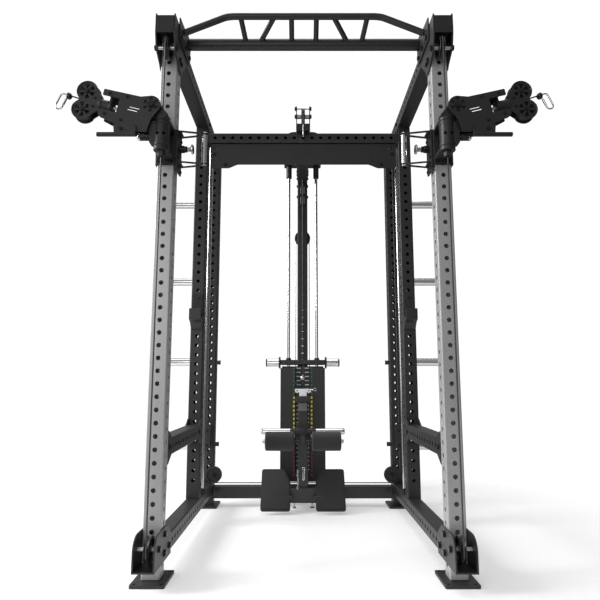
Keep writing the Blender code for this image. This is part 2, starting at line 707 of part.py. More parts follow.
def build_shroud():
    """Cover in front of the stack: a face with a slot, and two side returns."""
    face_y = SHROUD_FACE_Y
    back = STACK_Y + STACK_HALF[1]
    top = STACK_TOP - RUN_CLEAR
    outline = [
        (-SHROUD_HALF, face_y),
        (SHROUD_HALF, face_y),
        (SHROUD_HALF, back),
        (SHROUD_HALF - WALL, back),
        (SHROUD_HALF - WALL, face_y + WALL),
        (-SHROUD_HALF + WALL, face_y + WALL),
        (-SHROUD_HALF + WALL, back),
        (-SHROUD_HALF, back),
    ]
    shell = slab(outline, "Z", SHROUD_LOW, top)
    slot = box((-0.050, face_y - 0.01, SHROUD_LOW + 0.045), (0.050, face_y + 0.01, top + 0.01))
    finish_part(carve(shell, slot), "stack_shroud", "black_paint")


def rod_holes(low, high, clearance):
    """Returns the two cutters for the guide rods."""
    radius = ROD_R + clearance
    places = [(flip * ROD_X, STACK_Y) for flip in (-1, 1)]
    return [bar((*place, low), (*place, high), radius) for place in places]


def build_stack():
    """Resting plates, lifted plates with the top block and add-on horns, and the selector pin."""
    half_x, half_y = STACK_HALF
    front, back = STACK_Y - half_y, STACK_Y + half_y
    rest = box((-half_x, front, STACK_LOW), (half_x, back, LIFT_LOW - GAP))
    rest = carve(rest, *rod_holes(STACK_LOW - 0.01, LIFT_LOW + 0.01, ROD_FIT))
    finish_part(rest, "weight_stack", "cast_iron")

    block_half, block_top = SHROUD_HALF + 0.002, STACK_TOP + TOP_BLOCK
    pieces = [box((-half_x, front, LIFT_LOW), (half_x, back, STACK_TOP + 0.001))]
    pieces.append(box((-block_half, front - 0.010, STACK_TOP), (block_half, back, block_top)))
    horn = (STACK_Y - 0.045, STACK_TOP + 0.026)
    for flip in (-1, 1):
        root, rim, tip = (flip * (block_half + step) for step in (-0.0005, 0.011, 0.095))
        pieces.append(bar((root, *horn), (rim, *horn), 0.038))
        pieces.append(bar((rim - flip * 0.006, *horn), (tip, *horn), 0.0255))
    lift = fuse(*pieces)
    pin_z = LIFT_LOW + PLATE_PITCH / 2
    pin_hole = bar((0, STACK_Y - 0.2, pin_z), (0, STACK_Y - 0.02, pin_z), 0.0058, facets=12)
    lift = carve(lift, *rod_holes(LIFT_LOW - 0.01, block_top + 0.01, ROD_FIT), pin_hole)
    finish_part(lift, "lift_stack", "cast_iron", (0, STACK_Y, LIFT_LOW))

    knob_back = STACK_Y - half_y - 0.024
    shank = bar((0, knob_back - 0.005, pin_z), (0, STACK_Y - 0.025, pin_z), 0.0048, facets=12)
    knob = bar((0, knob_back - 0.026, pin_z), (0, knob_back, pin_z), 0.012)
    finish_part(fuse(shank, knob), "selector_pin", "chrome", (0, knob_back, pin_z))


def build_knee_unit():
    """Sliding sleeve with the cross tube and roller shafts, and the two foam rollers."""
    post_y = REAR_Y - 0.090
    hole = KNEE_POST / 2 + RUN_CLEAR
    outer = hole + PLATE
    sleeve_low = (-outer, post_y - outer, ROLLER_Z - 0.010)
    sleeve = box(sleeve_low, (outer, post_y + outer, ROLLER_Z + 0.085))
    cross_z = ROLLER_Z + 0.048
    cross_y = post_y - outer - 0.012
    roller_y = post_y - 0.125
    cross = bar((-0.241, cross_y, cross_z), (0.241, cross_y, cross_z), 0.0175)
    arm_low = (-0.014, roller_y - 0.012, ROLLER_Z - 0.012)
    arm = box(arm_low, (0.014, post_y - outer + 0.004, ROLLER_Z + 0.040))
    shaft = bar((-0.231, roller_y, ROLLER_Z), (0.231, roller_y, ROLLER_Z), SHAFT_R)
    pieces = [sleeve, cross, arm, shaft]
    for flip in (-1, 1):
        cap = (flip * 0.219, roller_y, ROLLER_Z)
        pieces.append(bar(cap, (flip * 0.231, roller_y, ROLLER_Z), 0.014))
    hole_low = (-hole, post_y - hole, ROLLER_Z - 0.1)
    unit = carve(fuse(*pieces), box(hole_low, (hole, post_y + hole, ROLLER_Z + 0.2)))
    finish_part(unit, "knee_carriage", "black_paint", (0, post_y, ROLLER_Z))
    bore = SHAFT_R + SHAFT_FIT
    for side in (-1, 1):
        profile = [
            (bore, ROLLER_LONG / 2),
            (ROLLER_R - 0.006, ROLLER_LONG / 2),
            (ROLLER_R, ROLLER_LONG / 2 - 0.006),
            (ROLLER_R, -ROLLER_LONG / 2 + 0.006),
            (ROLLER_R - 0.006, -ROLLER_LONG / 2),
            (bore, -ROLLER_LONG / 2),
        ]
        centre = (side * 0.1325, roller_y, ROLLER_Z)
        roller = turned(profile, centre, (1, 0, 0))
        finish_part(roller, side_name("knee_roller", side), "foam", centre)


def build_lat_parts():
    """Lat pulley, its hanging carabiner and the pulley behind the mast."""
    centre = (0, LAT_Y, LAT_PULLEY_Z)
    wheel = pulley(centre, (1, 0, 0), LAT_PULLEY_R, BOLT_R + AXLE_FIT)
    finish_part(wheel, "lat_pulley", "nylon", centre)
    drop_y = LAT_Y - wrap(LAT_PULLEY_R)
    hang = (0, drop_y, 2.150)
    middle = (0, drop_y, hang[2] - CARABINER_LONG / 2 + 0.006)
    eye = ring_link(middle, CARABINER_LONG, CARABINER_WIDE, WIRE_R, facing="X")
    finish_part(eye, "lat_carabiner", "chrome", hang)
    centre = (0, MAST_Y + TUBE + 0.020, STACK_PULLEY_Z)
    wheel = pulley(centre, (0, 1, 0), STACK_PULLEY_R, BOLT_R + AXLE_FIT)
    finish_part(wheel, "stack_pulley", "nylon", centre)


def build_hook(side):
    """J-hook on the middle post: back plate, cradle and lip in one bent profile."""
    back = MIDDLE_Y - GAP
    outline = [
        (back, 1.020),
        (back, 1.220),
        (back - 0.008, 1.220),
        (back - 0.008, 1.085),
        (back - 0.062, 1.078),
        (back - 0.062, 1.125),
        (back - 0.072, 1.125),
        (back - 0.072, 1.066),
        (back - 0.040, 1.052),
        (back - 0.010, 1.020),
    ]
    hook = slab(outline, "X", -POST_X - 0.031, -POST_X + 0.031)
    finish_part(for_side(hook, side), side_name("j_hook", side), "black_paint")


# ---- Cable arms ----------------------------------------------------------------------------
def arm_point(along, across):
    """Returns (X, Z) on the left arm at rest, from the shoulder: along the arm, then up."""
    out = along * math.cos(ARM_TILT) - across * math.sin(ARM_TILT)
    up = along * math.sin(ARM_TILT) + across * math.cos(ARM_TILT)
    return (-SHOULDER_X - out, SHOULDER_Z + up)


def on_arm_axis(along):
    """Returns the point that far along the axis of the left arm's collar."""
    x, z = arm_point(along, -ARM_AXIS_DROP)
    return (x, SWIVEL_Y, z)


def build_trolley(side):
    """Sleeve on the front post, swivel lugs, V plates and the grip between them."""
    hole = HALF + SLIDE_FIT
    outer = hole + PLY
    middle = FRONT_Y + HALF
    near, far = -POST_X + outer, -POST_X - outer
    front, back = middle - outer, middle + outer
    axis = (-CABLE_X, SWIVEL_Y)
    pieces = [box((far, front, TROLLEY_LOW), (near, back, TROLLEY_HIGH))]
    cheek_high = (near + PLATE, back, TROLLEY_HIGH + 0.004)
    pieces.append(box((near - 0.001, front, TROLLEY_LOW - 0.023), cheek_high))
    below = (SWIVEL_LOW - 0.018, SWIVEL_LOW - GAP)
    for low, high in (below, (SWIVEL_HIGH + GAP, SWIVEL_HIGH + 0.014)):
        neck_high = (-CABLE_X + SWIVEL_R - 0.001, front + 0.001, high)
        neck = box((-CABLE_X - NECK_OUT, SWIVEL_Y, low), neck_high)
        pieces.append(fuse(bar((*axis, low), (*axis, high), SWIVEL_R), neck))
    pieces.append(bar((*axis, SWIVEL_LOW - 0.040), (*axis, SWIVEL_LOW - 0.017), 0.016))
    vee = [
        (near, front + 0.004),
        (-GRIP_X - 0.010, middle - 0.016),
        (-GRIP_X + 0.014, middle - 0.012),
        (-GRIP_X + 0.014, middle + 0.012),
        (-GRIP_X - 0.010, middle + 0.016),
        (near, back - 0.004),
    ]
    window = [
        (near + 0.018, middle - 0.024),
        (-GRIP_X - 0.022, middle - 0.007),
        (-GRIP_X - 0.022, middle + 0.007),
        (near + 0.018, middle + 0.024),
    ]
    for low in (TROLLEY_LOW + 0.014, TROLLEY_HIGH - 0.006):
        pieces.append(slab(vee, "Z", low, low + PLY, holes=(window,)))
    grip_low = (-GRIP_X, middle, TROLLEY_LOW + 0.010)
    pieces.append(bar(grip_low, (-GRIP_X, middle, TROLLEY_HIGH + 0.003), GRIP_R))
    pin_axis = (middle, PIN_Z)
    face = near + PLATE
    collar_end = face + COLLAR_LONG
    pieces.append(bar((face - 0.001, *pin_axis), (collar_end, *pin_axis), COLLAR_WIDE))
    body = fuse(*pieces)
    hole_low = (-POST_X - hole, middle - hole, TROLLEY_LOW - 0.05)
    post_hole = box(hole_low, (-POST_X + hole, middle + hole, TROLLEY_HIGH + 0.05))
    cable_hole = bar((*axis, SWIVEL_LOW - 0.1), (*axis, SWIVEL_HIGH + 0.1), CABLE_HOLE_R)
    pin_hole = bar((-POST_X, *pin_axis), (-GRIP_X - 0.05, *pin_axis), PIN_R + PIN_FIT)
    body = for_side(carve(body, post_hole, cable_hole, pin_hole), side)
    finish_part(body, side_name("trolley", side), "black_paint", (side * POST_X, *pin_axis))

    knob_start = collar_end + PIN_THROW + RUN_CLEAR
    knob_end = knob_start + KNOB_LONG
    pin = fuse(
        bar((near - PLY + 0.001, *pin_axis), (knob_start + 0.001, *pin_axis), PIN_R),
        bar((knob_start, *pin_axis), (knob_end, *pin_axis), 0.0120),
    )
    origin = (-side * face, *pin_axis)
    finish_part(for_side(pin, side), side_name("trolley_pin", side), "chrome", origin)


def build_swivel_head(side):
    """Hollow barrel on the cable line with the bracket that carries the shoulder axle."""
    barrel = bar((-CABLE_X, SWIVEL_Y, SWIVEL_LOW), (-CABLE_X, SWIVEL_Y, SWIVEL_HIGH), SWIVEL_R)
    over = SWIVEL_HIGH + 0.017
    outline = [
        (-CABLE_X - SWIVEL_R + 0.011, SWIVEL_LOW + 0.010),
        (-CABLE_X - SWIVEL_R - 0.014, SWIVEL_LOW + 0.010),
        (-CABLE_X - SWIVEL_R - 0.014, SWIVEL_LOW + 0.054),
        (-SHOULDER_X - 0.046, SWIVEL_LOW + 0.062),
        (-SHOULDER_X - 0.050, SWIVEL_LOW + 0.090),
        (-SHOULDER_X - 0.020, SHOULDER_Z + 0.024),
        (-SHOULDER_X + 0.010, SHOULDER_Z + 0.030),
        (-SHOULDER_X + 0.066, SHOULDER_Z - 0.032),
        (-SHOULDER_X + 0.062, over),
        (-CABLE_X - SWIVEL_R - 0.004, over),
        (-CABLE_X - SWIVEL_R - 0.004, SWIVEL_HIGH - 0.004),
        (-CABLE_X - SWIVEL_R + 0.011, SWIVEL_HIGH - 0.004),
    ]
    pieces = [barrel]
    for low in (SWIVEL_Y - 0.021, SWIVEL_Y + 0.015):
        pieces.append(slab(outline, "Y", low, low + PLATE))
    web_low = (-CABLE_X - SWIVEL_R - 0.014, SWIVEL_Y - 0.018, SWIVEL_LOW + 0.010)
    web_high = (-CABLE_X - SWIVEL_R + 0.008, SWIVEL_Y + 0.018, SWIVEL_LOW + 0.050)
    pieces.append(box(web_low, web_high))
    reach = ARM_HALF + PLY + HEAD_T
    axle_start = (-SHOULDER_X, SWIVEL_Y - reach, SHOULDER_Z)
    pieces.append(bar(axle_start, (-SHOULDER_X, SWIVEL_Y + reach, SHOULDER_Z), BOLT_R))
    pin_start, pin_place = -CABLE_X - SWIVEL_R - 0.010, (SWIVEL_Y, SWIVEL_LOW + 0.032)
    pieces.append(bar((pin_start - 0.052, *pin_place), (pin_start, *pin_place), 0.0145))
    head = fuse(*pieces)
    bore_low = (-CABLE_X, SWIVEL_Y, SWIVEL_LOW - 0.01)
    head = carve(head, bar(bore_low, (-CABLE_X, SWIVEL_Y, SWIVEL_HIGH + 0.005), SWIVEL_BORE))
    origin = (side * CABLE_X, SWIVEL_Y, SWIVEL_LOW)
    finish_part(for_side(head, side), side_name("swivel_head", side), "black_paint", origin)
    centre = (side * SHOULDER_X, SWIVEL_Y, SHOULDER_Z)
    wheel = pulley(centre, (0, 1, 0), ARM_PULLEY_R, BOLT_R + AXLE_FIT)
    finish_part(wheel, side_name("shoulder_pulley", side), "nylon", centre)


def build_arm(side):
    """Two side plates on the shoulder axle, joined by a top plate and the collar's bulkhead."""
    fork_low, fork_high = -ARM_AXIS_DROP - 0.030, -ARM_AXIS_DROP + 0.030
    outline = [
        arm_point(0.197, 0.024),
        arm_point(0.047, 0.024),
        arm_point(0.030, 0.030),
    ]
    outline += [arm_point(*place) for place in arc((0, 0), 0.038, 60, 250, 12)]
    outline += [
        arm_point(0.018, -0.112),
        arm_point(0.046, -0.116),
        arm_point(0.117, -0.102),
        arm_point(0.197, -0.080),
        arm_point(0.197, fork_low),
        arm_point(0.126, fork_low),
        arm_point(0.126, fork_high),
        arm_point(0.197, fork_high),
    ]
    axle_hole = circle((-SHOULDER_X, SHOULDER_Z), BOLT_R + AXLE_FIT)
    pieces = []
    for low in (SWIVEL_Y - ARM_HALF - PLY, SWIVEL_Y + ARM_HALF):
        pieces.append(slab(outline, "Y", low, low + PLY, holes=(axle_hole,)))
    inner_low, inner_high = SWIVEL_Y - ARM_HALF - 0.001, SWIVEL_Y + ARM_HALF + 0.001
    top_plate = [(0.066, 0.018), (0.190, 0.018), (0.190, 0.0235), (0.066, 0.0235)]
    wall_low, wall_high = fork_low - 0.006, fork_high + 0.006
    bulkhead = [(0.146, wall_low), (0.152, wall_low), (0.152, wall_high), (0.146, wall_high)]
    low_plate = [(0.078, -0.106), (0.116, -0.098), (0.116, -0.092), (0.078, -0.100)]
    for shape in (top_plate, bulkhead, low_plate):
        points = [arm_point(*place) for place in shape]
        pieces.append(slab(points, "Y", inner_low, inner_high))
    rod_y = SWIVEL_Y - ARM_HALF - PLY - LEVER_OFF
    rod_z = 1.692
    pieces.append(bar((-0.808, rod_y, rod_z), (-0.655, rod_y, rod_z), LEVER_R))
    ear = [(-0.660, 1.684), (-0.740, 1.684), (-0.745, 1.735), (-0.655, 1.722)]
    pieces.append(slab(ear, "Y", rod_y - 0.004, SWIVEL_Y - ARM_HALF - 0.002))
    arm = fuse(*pieces)
    spindle_hole = bar(on_arm_axis(0.130), on_arm_axis(0.160), SPINDLE_R + AXLE_FIT)
    arm = carve(arm, spindle_hole)
    origin = (side * SHOULDER_X, SWIVEL_Y, SHOULDER_Z)
    finish_part(for_side(arm, side), side_name("arm", side), "black_paint", origin)


def build_tip(side):
    """Collar on the arm's axis with the covers and the two tip pulleys between them."""
    pieces = [
        bar(on_arm_axis(0.157), on_arm_axis(0.212), COLLAR_R),
        bar(on_arm_axis(0.128), on_arm_axis(0.160), SPINDLE_R),
        bar(on_arm_axis(0.128), on_arm_axis(0.142), 0.0140),
    ]
    upper = (ARM_TIP, -ARM_AXIS_DROP + TIP_SPREAD / 2)
    lower = (ARM_TIP, -ARM_AXIS_DROP - TIP_SPREAD / 2)
    cover_r = 0.043
    outline = [(ARM_TIP - 0.062, -ARM_AXIS_DROP - 0.030)]
    outline += arc(lower, cover_r, -160, 55, 10)
    outline += arc(upper, cover_r, -55, 160, 10)
    outline += [(ARM_TIP - 0.062, -ARM_AXIS_DROP + 0.030)]
    flat = [arm_point(*place) for place in outline]
    for low in (SWIVEL_Y - 0.020, SWIVEL_Y + 0.016):
        pieces.append(slab(flat, "Y", low, low + 0.004))
    web = [arm_point(ARM_TIP - 0.061, v - ARM_AXIS_DROP) for v in (-0.028, 0.028)]
    web += [arm_point(ARM_TIP - 0.052, v - ARM_AXIS_DROP) for v in (0.028, -0.028)]
    pieces.append(slab(web, "Y", SWIVEL_Y - 0.018, SWIVEL_Y + 0.018))
    centres = []
    for place in (upper, lower):
        x, z = arm_point(*place)
        centres.append((x, SWIVEL_Y, z))
        axle_end = (x, SWIVEL_Y + 0.026, z)
        pieces.append(bar((x, SWIVEL_Y - 0.026, z), axle_end, TIP_AXLE_R))
    block = for_side(fuse(*pieces), side)
    origin = Matrix.Diagonal((-side, 1, 1)) @ Vector(on_arm_axis(0.157))
    finish_part(block, side_name("tip_block", side), "black_paint", origin)
    for label, (x, y, z) in zip(("tip_pulley_upper", "tip_pulley_lower"), centres):
        centre = (-side * x, y, z)
        wheel = pulley(centre, (0, 1, 0), ARM_PULLEY_R, TIP_AXLE_R + AXLE_FIT)
        finish_part(wheel, side_name(label, side), "nylon", centre)


def build_carabiner(side):
    """Ball stopper on the cable's end with the carabiner's oval link."""
    x, z = arm_point(0.345, -0.022)
    stopper = bar((x + 0.012, SWIVEL_Y, z), (x - 0.012, SWIVEL_Y, z), 0.014)
    centre = (x - 0.030, SWIVEL_Y, z - 0.022)
    tilt = math.radians(-24)
    link_shape = ring_link(centre, CARABINER_LONG, CARABINER_WIDE, WIRE_R, tilt)
    clip = for_side(fuse(stopper, link_shape), side)
    finish_part(clip, side_name("carabiner", side), "chrome", (-side * x, SWIVEL_Y, z))


# ---- Cables and their pulleys --------------------------------------------------------------
def build_front_cable(side):
    """Front cable from the top pulley down the swivel axis and round the bottom pulley."""
    top_r, bottom_r = wrap(TOP_PULLEY_R), wrap(BOTTOM_PULLEY_R)
    over = arc((TOP_PULLEY_Y, TOP_PULLEY_Z), top_r, 60, 180, 8)
    under = arc((BOTTOM_PULLEY_Y, BOTTOM_PULLEY_Z), bottom_r, 180, 300, 8)
    points = [(-CABLE_X, y, z) for y, z in over + under]
    cable = pipe(points, CABLE_R)
    finish_part(for_side(cable, side), side_name("arm_cable", side), "cable")
    top = (side * CABLE_X, TOP_PULLEY_Y, TOP_PULLEY_Z)
    bottom = (side * CABLE_X, BOTTOM_PULLEY_Y, BOTTOM_PULLEY_Z)
    wheel = pulley(top, (1, 0, 0), TOP_PULLEY_R, BOLT_R + AXLE_FIT)
    finish_part(wheel, side_name("top_pulley", side), "nylon", top)
    wheel = pulley(bottom, (1, 0, 0), BOTTOM_PULLEY_R, BOLT_R + AXLE_FIT)
    finish_part(wheel, side_name("bottom_pulley", side), "nylon", bottom)


def build_side_column(side):
    """Disc pulley at the column's foot and the floating pulley block above it."""
    centre = (side * DISC_X, DISC_Y, DISC_Z)
    wheel = pulley(centre, (0, 1, 0), DISC_R, BOLT_R + AXLE_FIT)
    finish_part(wheel, side_name("disc_pulley", side), "nylon", centre)
    low = (-COLUMN_X - 0.019, DISC_Y - 0.020, BLOCK_Z)
    block = box(low, (-COLUMN_X + 0.024, DISC_Y + 0.014, BLOCK_Z + BLOCK_H))
    origin = (side * COLUMN_X, DISC_Y, BLOCK_Z)
    finish_part(for_side(block, side), side_name("floating_block", side), "black_paint", origin)


def build_long_cables():
    """Stack cable between the two floating blocks, and the lat cable."""
    bend = wrap(DISC_R)
    left = [(-COLUMN_X, DISC_Y, BLOCK_Z - GAP)]
    left += [(x, DISC_Y, z) for x, z in arc((-DISC_X, DISC_Z), bend, 180, 270, 6)]
    points = left + [(-x, y, z) for x, y, z in reversed(left)]
    finish_part(pipe(points, CABLE_R), "stack_cable", "cable")

    over = wrap(LAT_PULLEY_R)
    points = [(0, LAT_Y - over, 2.160)]
    points += [(0, y, z) for y, z in arc((LAT_Y, LAT_PULLEY_Z), over, 180, 90, 6)]
    points += [(0, y, z) for y, z in arc((LAT_BACK_Y, LAT_PULLEY_Z), over, 90, 0, 6)]
    points += [(0, STACK_Y, STACK_TOP + TOP_BLOCK + GAP)]
    finish_part(pipe(points, CABLE_R), "lat_cable", "cable")


def make_materials():
    """Returns one Principled material for each finish."""
    made = {}
    for name, (colour, roughness, metallic) in COLOURS.items():
        material = bpy.data.materials.new(name)
        material.use_nodes = True
        shader = material.node_tree.nodes["Principled BSDF"]
        shader.inputs["Base Color"].default_value = (*colour, 1.0)
        shader.inputs["Roughness"].default_value = roughness
        shader.inputs["Metallic"].default_value = metallic
        made[name] = material
    return made


def build_cage():
    """Builds every part of the cage."""
    for side in (-1, 1):
        build_upright("upright_front", FRONT_Y, "grey_paint", side)
        build_upright("upright_middle", MIDDLE_Y, "black_paint", side, foot=False)
        build_upright("upright_rear", REAR_Y, "black_paint", side, horns=True)
        build_base_rail(side)
        build_lower_rail(side)
        build_top_beam(side)
        build_hook(side)
        build_trolley(side)
        build_swivel_head(side)
        build_arm(side)
        build_tip(side)
        build_carabiner(side)
        build_front_cable(side)
        build_side_column(side)
    build_pull_up_bar()
    build_top_crossbeam()
    build_header_panel()
    build_low_frame()
    build_centre_mast()
    build_guide_rods()
    build_shroud()
    build_stack()
    build_knee_unit()
    build_lat_parts()
    build_long_cables()


for old in list(bpy.data.objects):
    bpy.data.objects.remove(old)
PARTS = fresh_collection("power_cage")
MATERIALS = make_materials()
build_cage()
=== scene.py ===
"""Visual model of a power cage with two swivelling cable arms and a central weight stack.

Metres, +Z up. The cage opens towards -Y and is symmetric about X = 0. Every place is taken
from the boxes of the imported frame, and each piece rides on the body it is fixed to.
"""

import json
import logging
import math
from collections.abc import Callable, Iterable, Sequence
from dataclasses import dataclass, field
from enum import Enum

import bmesh
import bpy
from mathutils import Euler, Matrix, Vector

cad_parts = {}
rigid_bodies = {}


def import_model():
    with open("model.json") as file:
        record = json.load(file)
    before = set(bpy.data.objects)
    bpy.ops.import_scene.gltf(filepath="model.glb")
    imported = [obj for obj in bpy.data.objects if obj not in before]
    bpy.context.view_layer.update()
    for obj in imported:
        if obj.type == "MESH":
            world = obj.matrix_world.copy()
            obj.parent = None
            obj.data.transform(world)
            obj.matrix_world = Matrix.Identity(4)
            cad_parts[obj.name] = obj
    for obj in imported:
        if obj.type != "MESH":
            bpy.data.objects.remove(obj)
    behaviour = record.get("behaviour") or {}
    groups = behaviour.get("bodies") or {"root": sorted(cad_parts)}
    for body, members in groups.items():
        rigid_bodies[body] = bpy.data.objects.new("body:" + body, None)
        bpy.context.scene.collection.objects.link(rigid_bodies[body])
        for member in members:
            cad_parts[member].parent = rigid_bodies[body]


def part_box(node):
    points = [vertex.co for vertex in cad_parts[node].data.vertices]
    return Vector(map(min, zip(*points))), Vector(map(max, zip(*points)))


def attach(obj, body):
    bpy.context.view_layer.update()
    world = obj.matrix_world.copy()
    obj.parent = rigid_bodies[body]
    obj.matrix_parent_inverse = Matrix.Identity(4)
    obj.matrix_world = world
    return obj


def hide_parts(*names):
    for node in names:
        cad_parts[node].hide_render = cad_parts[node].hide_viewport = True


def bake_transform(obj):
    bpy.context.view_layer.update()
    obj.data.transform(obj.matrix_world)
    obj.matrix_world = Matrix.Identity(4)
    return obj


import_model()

LOG = logging.getLogger("power_cage")
Flat = tuple[float, float]
Point = tuple[float, float, float]
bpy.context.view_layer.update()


class Side(Enum):
    """Which half of the cage a piece belongs to."""

    LEFT = -1
    RIGHT = 1

    def name_of(self, stem: str) -> str:
        """Returns the stem with this side's ending."""
        return f"{stem}_left" if self is Side.LEFT else f"{stem}_right"


class Axis(Enum):
    """A world axis that a shape runs along."""

    X = 0
    Y = 1
    Z = 2

    def lift(self, across: float, up: float, along: float) -> Point:
        """Returns the point of a flat outline carried along this axis.

        Args:
            across: First coordinate of the outline: Y for X, else X.
            up: Second coordinate of the outline: Y for Z, else Z.
            along: Coordinate along this axis.

        Returns:
            The point in the frame.
        """
        if self is Axis.X:
            return (along, across, up)
        if self is Axis.Y:
            return (across, along, up)
        return (across, up, along)

    def turn(self) -> Euler:
        """Returns the rotation that carries +Z to this axis."""
        turns = {Axis.X: (0.0, math.pi / 2, 0.0), Axis.Y: (-math.pi / 2, 0.0, 0.0)}
        return Euler(turns.get(self, (0.0, 0.0, 0.0)))


# ---- Finishes ------------------------------------------------------------------------------
def shader_group(
    name: str, inputs: dict[str, tuple[str, object]], outputs: dict[str, str]
) -> tuple[bpy.types.NodeTree, bpy.types.Node, bpy.types.Node]:
    """Makes an empty shader node group.

    Args:
        name: Name of the group.
        inputs: Socket name to its kind and default value.
        outputs: Socket name to its kind.

    Returns:
        The group with its input node and its output node.
    """
    group = bpy.data.node_groups.new(name, "ShaderNodeTree")
    for label, (kind, value) in inputs.items():
        socket = group.interface.new_socket(label, in_out="INPUT", socket_type=kind)
        socket.default_value = value
    for label, kind in outputs.items():
        group.interface.new_socket(label, in_out="OUTPUT", socket_type=kind)
    return group, group.nodes.new("NodeGroupInput"), group.nodes.new("NodeGroupOutput")


def grain_group() -> bpy.types.NodeTree:
    """Fine texture of a coated, cast or moulded surface.

    Returns:
        A group with a Height for a bump and a Mask that drifts slowly over the surface.
    """
    inputs = {"Scale": ("NodeSocketFloat", 600.0), "Stretch": ("NodeSocketVector", (1.0, 1.0, 1.0))}
    outputs = {"Height": "NodeSocketFloat", "Mask": "NodeSocketFloat"}
    group, start, end = shader_group("surface grain", inputs, outputs)
    nodes, links = group.nodes, group.links
    place = nodes.new("ShaderNodeTexCoord")
    stretch = nodes.new("ShaderNodeVectorMath")
    stretch.operation = "MULTIPLY"
    links.new(place.outputs["Object"], stretch.inputs[0])
    links.new(start.outputs["Stretch"], stretch.inputs[1])
    fine = nodes.new("ShaderNodeTexNoise")
    fine.inputs["Detail"].default_value = 3.0
    links.new(stretch.outputs[0], fine.inputs["Vector"])
    links.new(start.outputs["Scale"], fine.inputs["Scale"])
    slow = nodes.new("ShaderNodeTexNoise")
    slow.inputs["Scale"].default_value = 5.0
    slow.inputs["Detail"].default_value = 4.0
    links.new(stretch.outputs[0], slow.inputs["Vector"])
    links.new(fine.outputs["Fac"], end.inputs["Height"])
    links.new(slow.outputs["Fac"], end.inputs["Mask"])
    return group


def dust_group() -> bpy.types.NodeTree:
    """Thin dust that lightens the faces that look up.

    Returns:
        A group that takes a Colour and an Amount and puts out the dusted Colour.
    """
    inputs = {
        "Colour": ("NodeSocketColor", (0.5, 0.5, 0.5, 1.0)),
        "Amount": ("NodeSocketFloat", 0.05),
    }
    group, start, end = shader_group("settled dust", inputs, {"Colour": "NodeSocketColor"})
    nodes, links = group.nodes, group.links
    place = nodes.new("ShaderNodeTexCoord")
    split = nodes.new("ShaderNodeSeparateXYZ")
    links.new(place.outputs["Normal"], split.inputs[0])
    patches = nodes.new("ShaderNodeTexNoise")
    patches.inputs["Scale"].default_value = 14.0
    patches.inputs["Detail"].default_value = 5.0
    links.new(place.outputs["Object"], patches.inputs["Vector"])
    upward = nodes.new("ShaderNodeMapRange")
    upward.inputs["From Min"].default_value = 0.4
    links.new(split.outputs["Z"], upward.inputs["Value"])
    spread = nodes.new("ShaderNodeMath")
    spread.operation = "MULTIPLY"
    links.new(upward.outputs[0], spread.inputs[0])
    links.new(patches.outputs["Fac"], spread.inputs[1])
    amount = nodes.new("ShaderNodeMath")
    amount.operation = "MULTIPLY"
    links.new(spread.outputs[0], amount.inputs[0])
    links.new(start.outputs["Amount"], amount.inputs[1])
    mix = nodes.new("ShaderNodeMix")
    mix.data_type = "RGBA"
    mix.inputs["B"].default_value = (0.36, 0.35, 0.34, 1.0)
    links.new(amount.outputs[0], mix.inputs["Factor"])
    links.new(start.outputs["Colour"], mix.inputs["A"])
    links.new(mix.outputs["Result"], end.inputs["Colour"])
    return group


GROUPS: dict[str, bpy.types.NodeTree] = {}


def shared_group(name: str, make: Callable[[], bpy.types.NodeTree]) -> bpy.types.NodeTree:
    """Looks a shader group up, and makes it on first use.

    Args:
        name: Name that it is kept under.
        make: Makes the group.

    Returns:
        The group.
    """
    if name not in GROUPS:
        GROUPS[name] = make()
    return GROUPS[name]


@dataclass(frozen=True)
class Finish:
    """How a surface is coated, cast, moulded or plated."""

    label: str
    slot: str
    colour: Point
    roughness: float
    metallic: float = 0.0
    grain: float = 700.0
    relief: float = 0.08
    drift: float = 0.10
    dust: float = 0.06
    stretch: Point = (1.0, 1.0, 1.0)
    coat: float = 0.0
    sheen: float = 0.0

    def material(self) -> bpy.types.Material:
        """Builds the finish's material, or returns it if it has been built.

        Returns:
            The material with grain, drifting colour and roughness, and dust.
        """
        known = bpy.data.materials.get(self.label)
        if known is not None:
            return known
        made = bpy.data.materials.new(self.label)
        made.use_nodes = True
        nodes, links = made.node_tree.nodes, made.node_tree.links
        shader = nodes["Principled BSDF"]
        shader.inputs["Metallic"].default_value = self.metallic
        shader.inputs["Coat Weight"].default_value = self.coat
        shader.inputs["Sheen Weight"].default_value = self.sheen
        grain = nodes.new("ShaderNodeGroup")
        grain.node_tree = shared_group("grain", grain_group)
        grain.inputs["Scale"].default_value = self.grain
        grain.inputs["Stretch"].default_value = self.stretch
        shade = nodes.new("ShaderNodeMix")
        shade.data_type = "RGBA"
        dark = [channel * (1.0 - self.drift) for channel in self.colour]
        light = [min(1.0, channel * (1.0 + self.drift)) for channel in self.colour]
        shade.inputs["A"].default_value = (*dark, 1.0)
        shade.inputs["B"].default_value = (*light, 1.0)
        links.new(grain.outputs["Mask"], shade.inputs["Factor"])
        dust = nodes.new("ShaderNodeGroup")
        dust.node_tree = shared_group("dust", dust_group)
        dust.inputs["Amount"].default_value = self.dust
        links.new(shade.outputs["Result"], dust.inputs["Colour"])
        links.new(dust.outputs["Colour"], shader.inputs["Base Color"])
        rough = nodes.new("ShaderNodeMapRange")
        rough.inputs["To Min"].default_value = max(0.02, self.roughness - 0.07)
        rough.inputs["To Max"].default_value = self.roughness + 0.07
        links.new(grain.outputs["Mask"], rough.inputs["Value"])
        links.new(rough.outputs[0], shader.inputs["Roughness"])
        bump = nodes.new("ShaderNodeBump")
        bump.inputs["Strength"].default_value = self.relief
        bump.inputs["Distance"].default_value = 0.0006
        links.new(grain.outputs["Height"], bump.inputs["Height"])
        links.new(bump.outputs["Normal"], shader.inputs["Normal"])
        return made


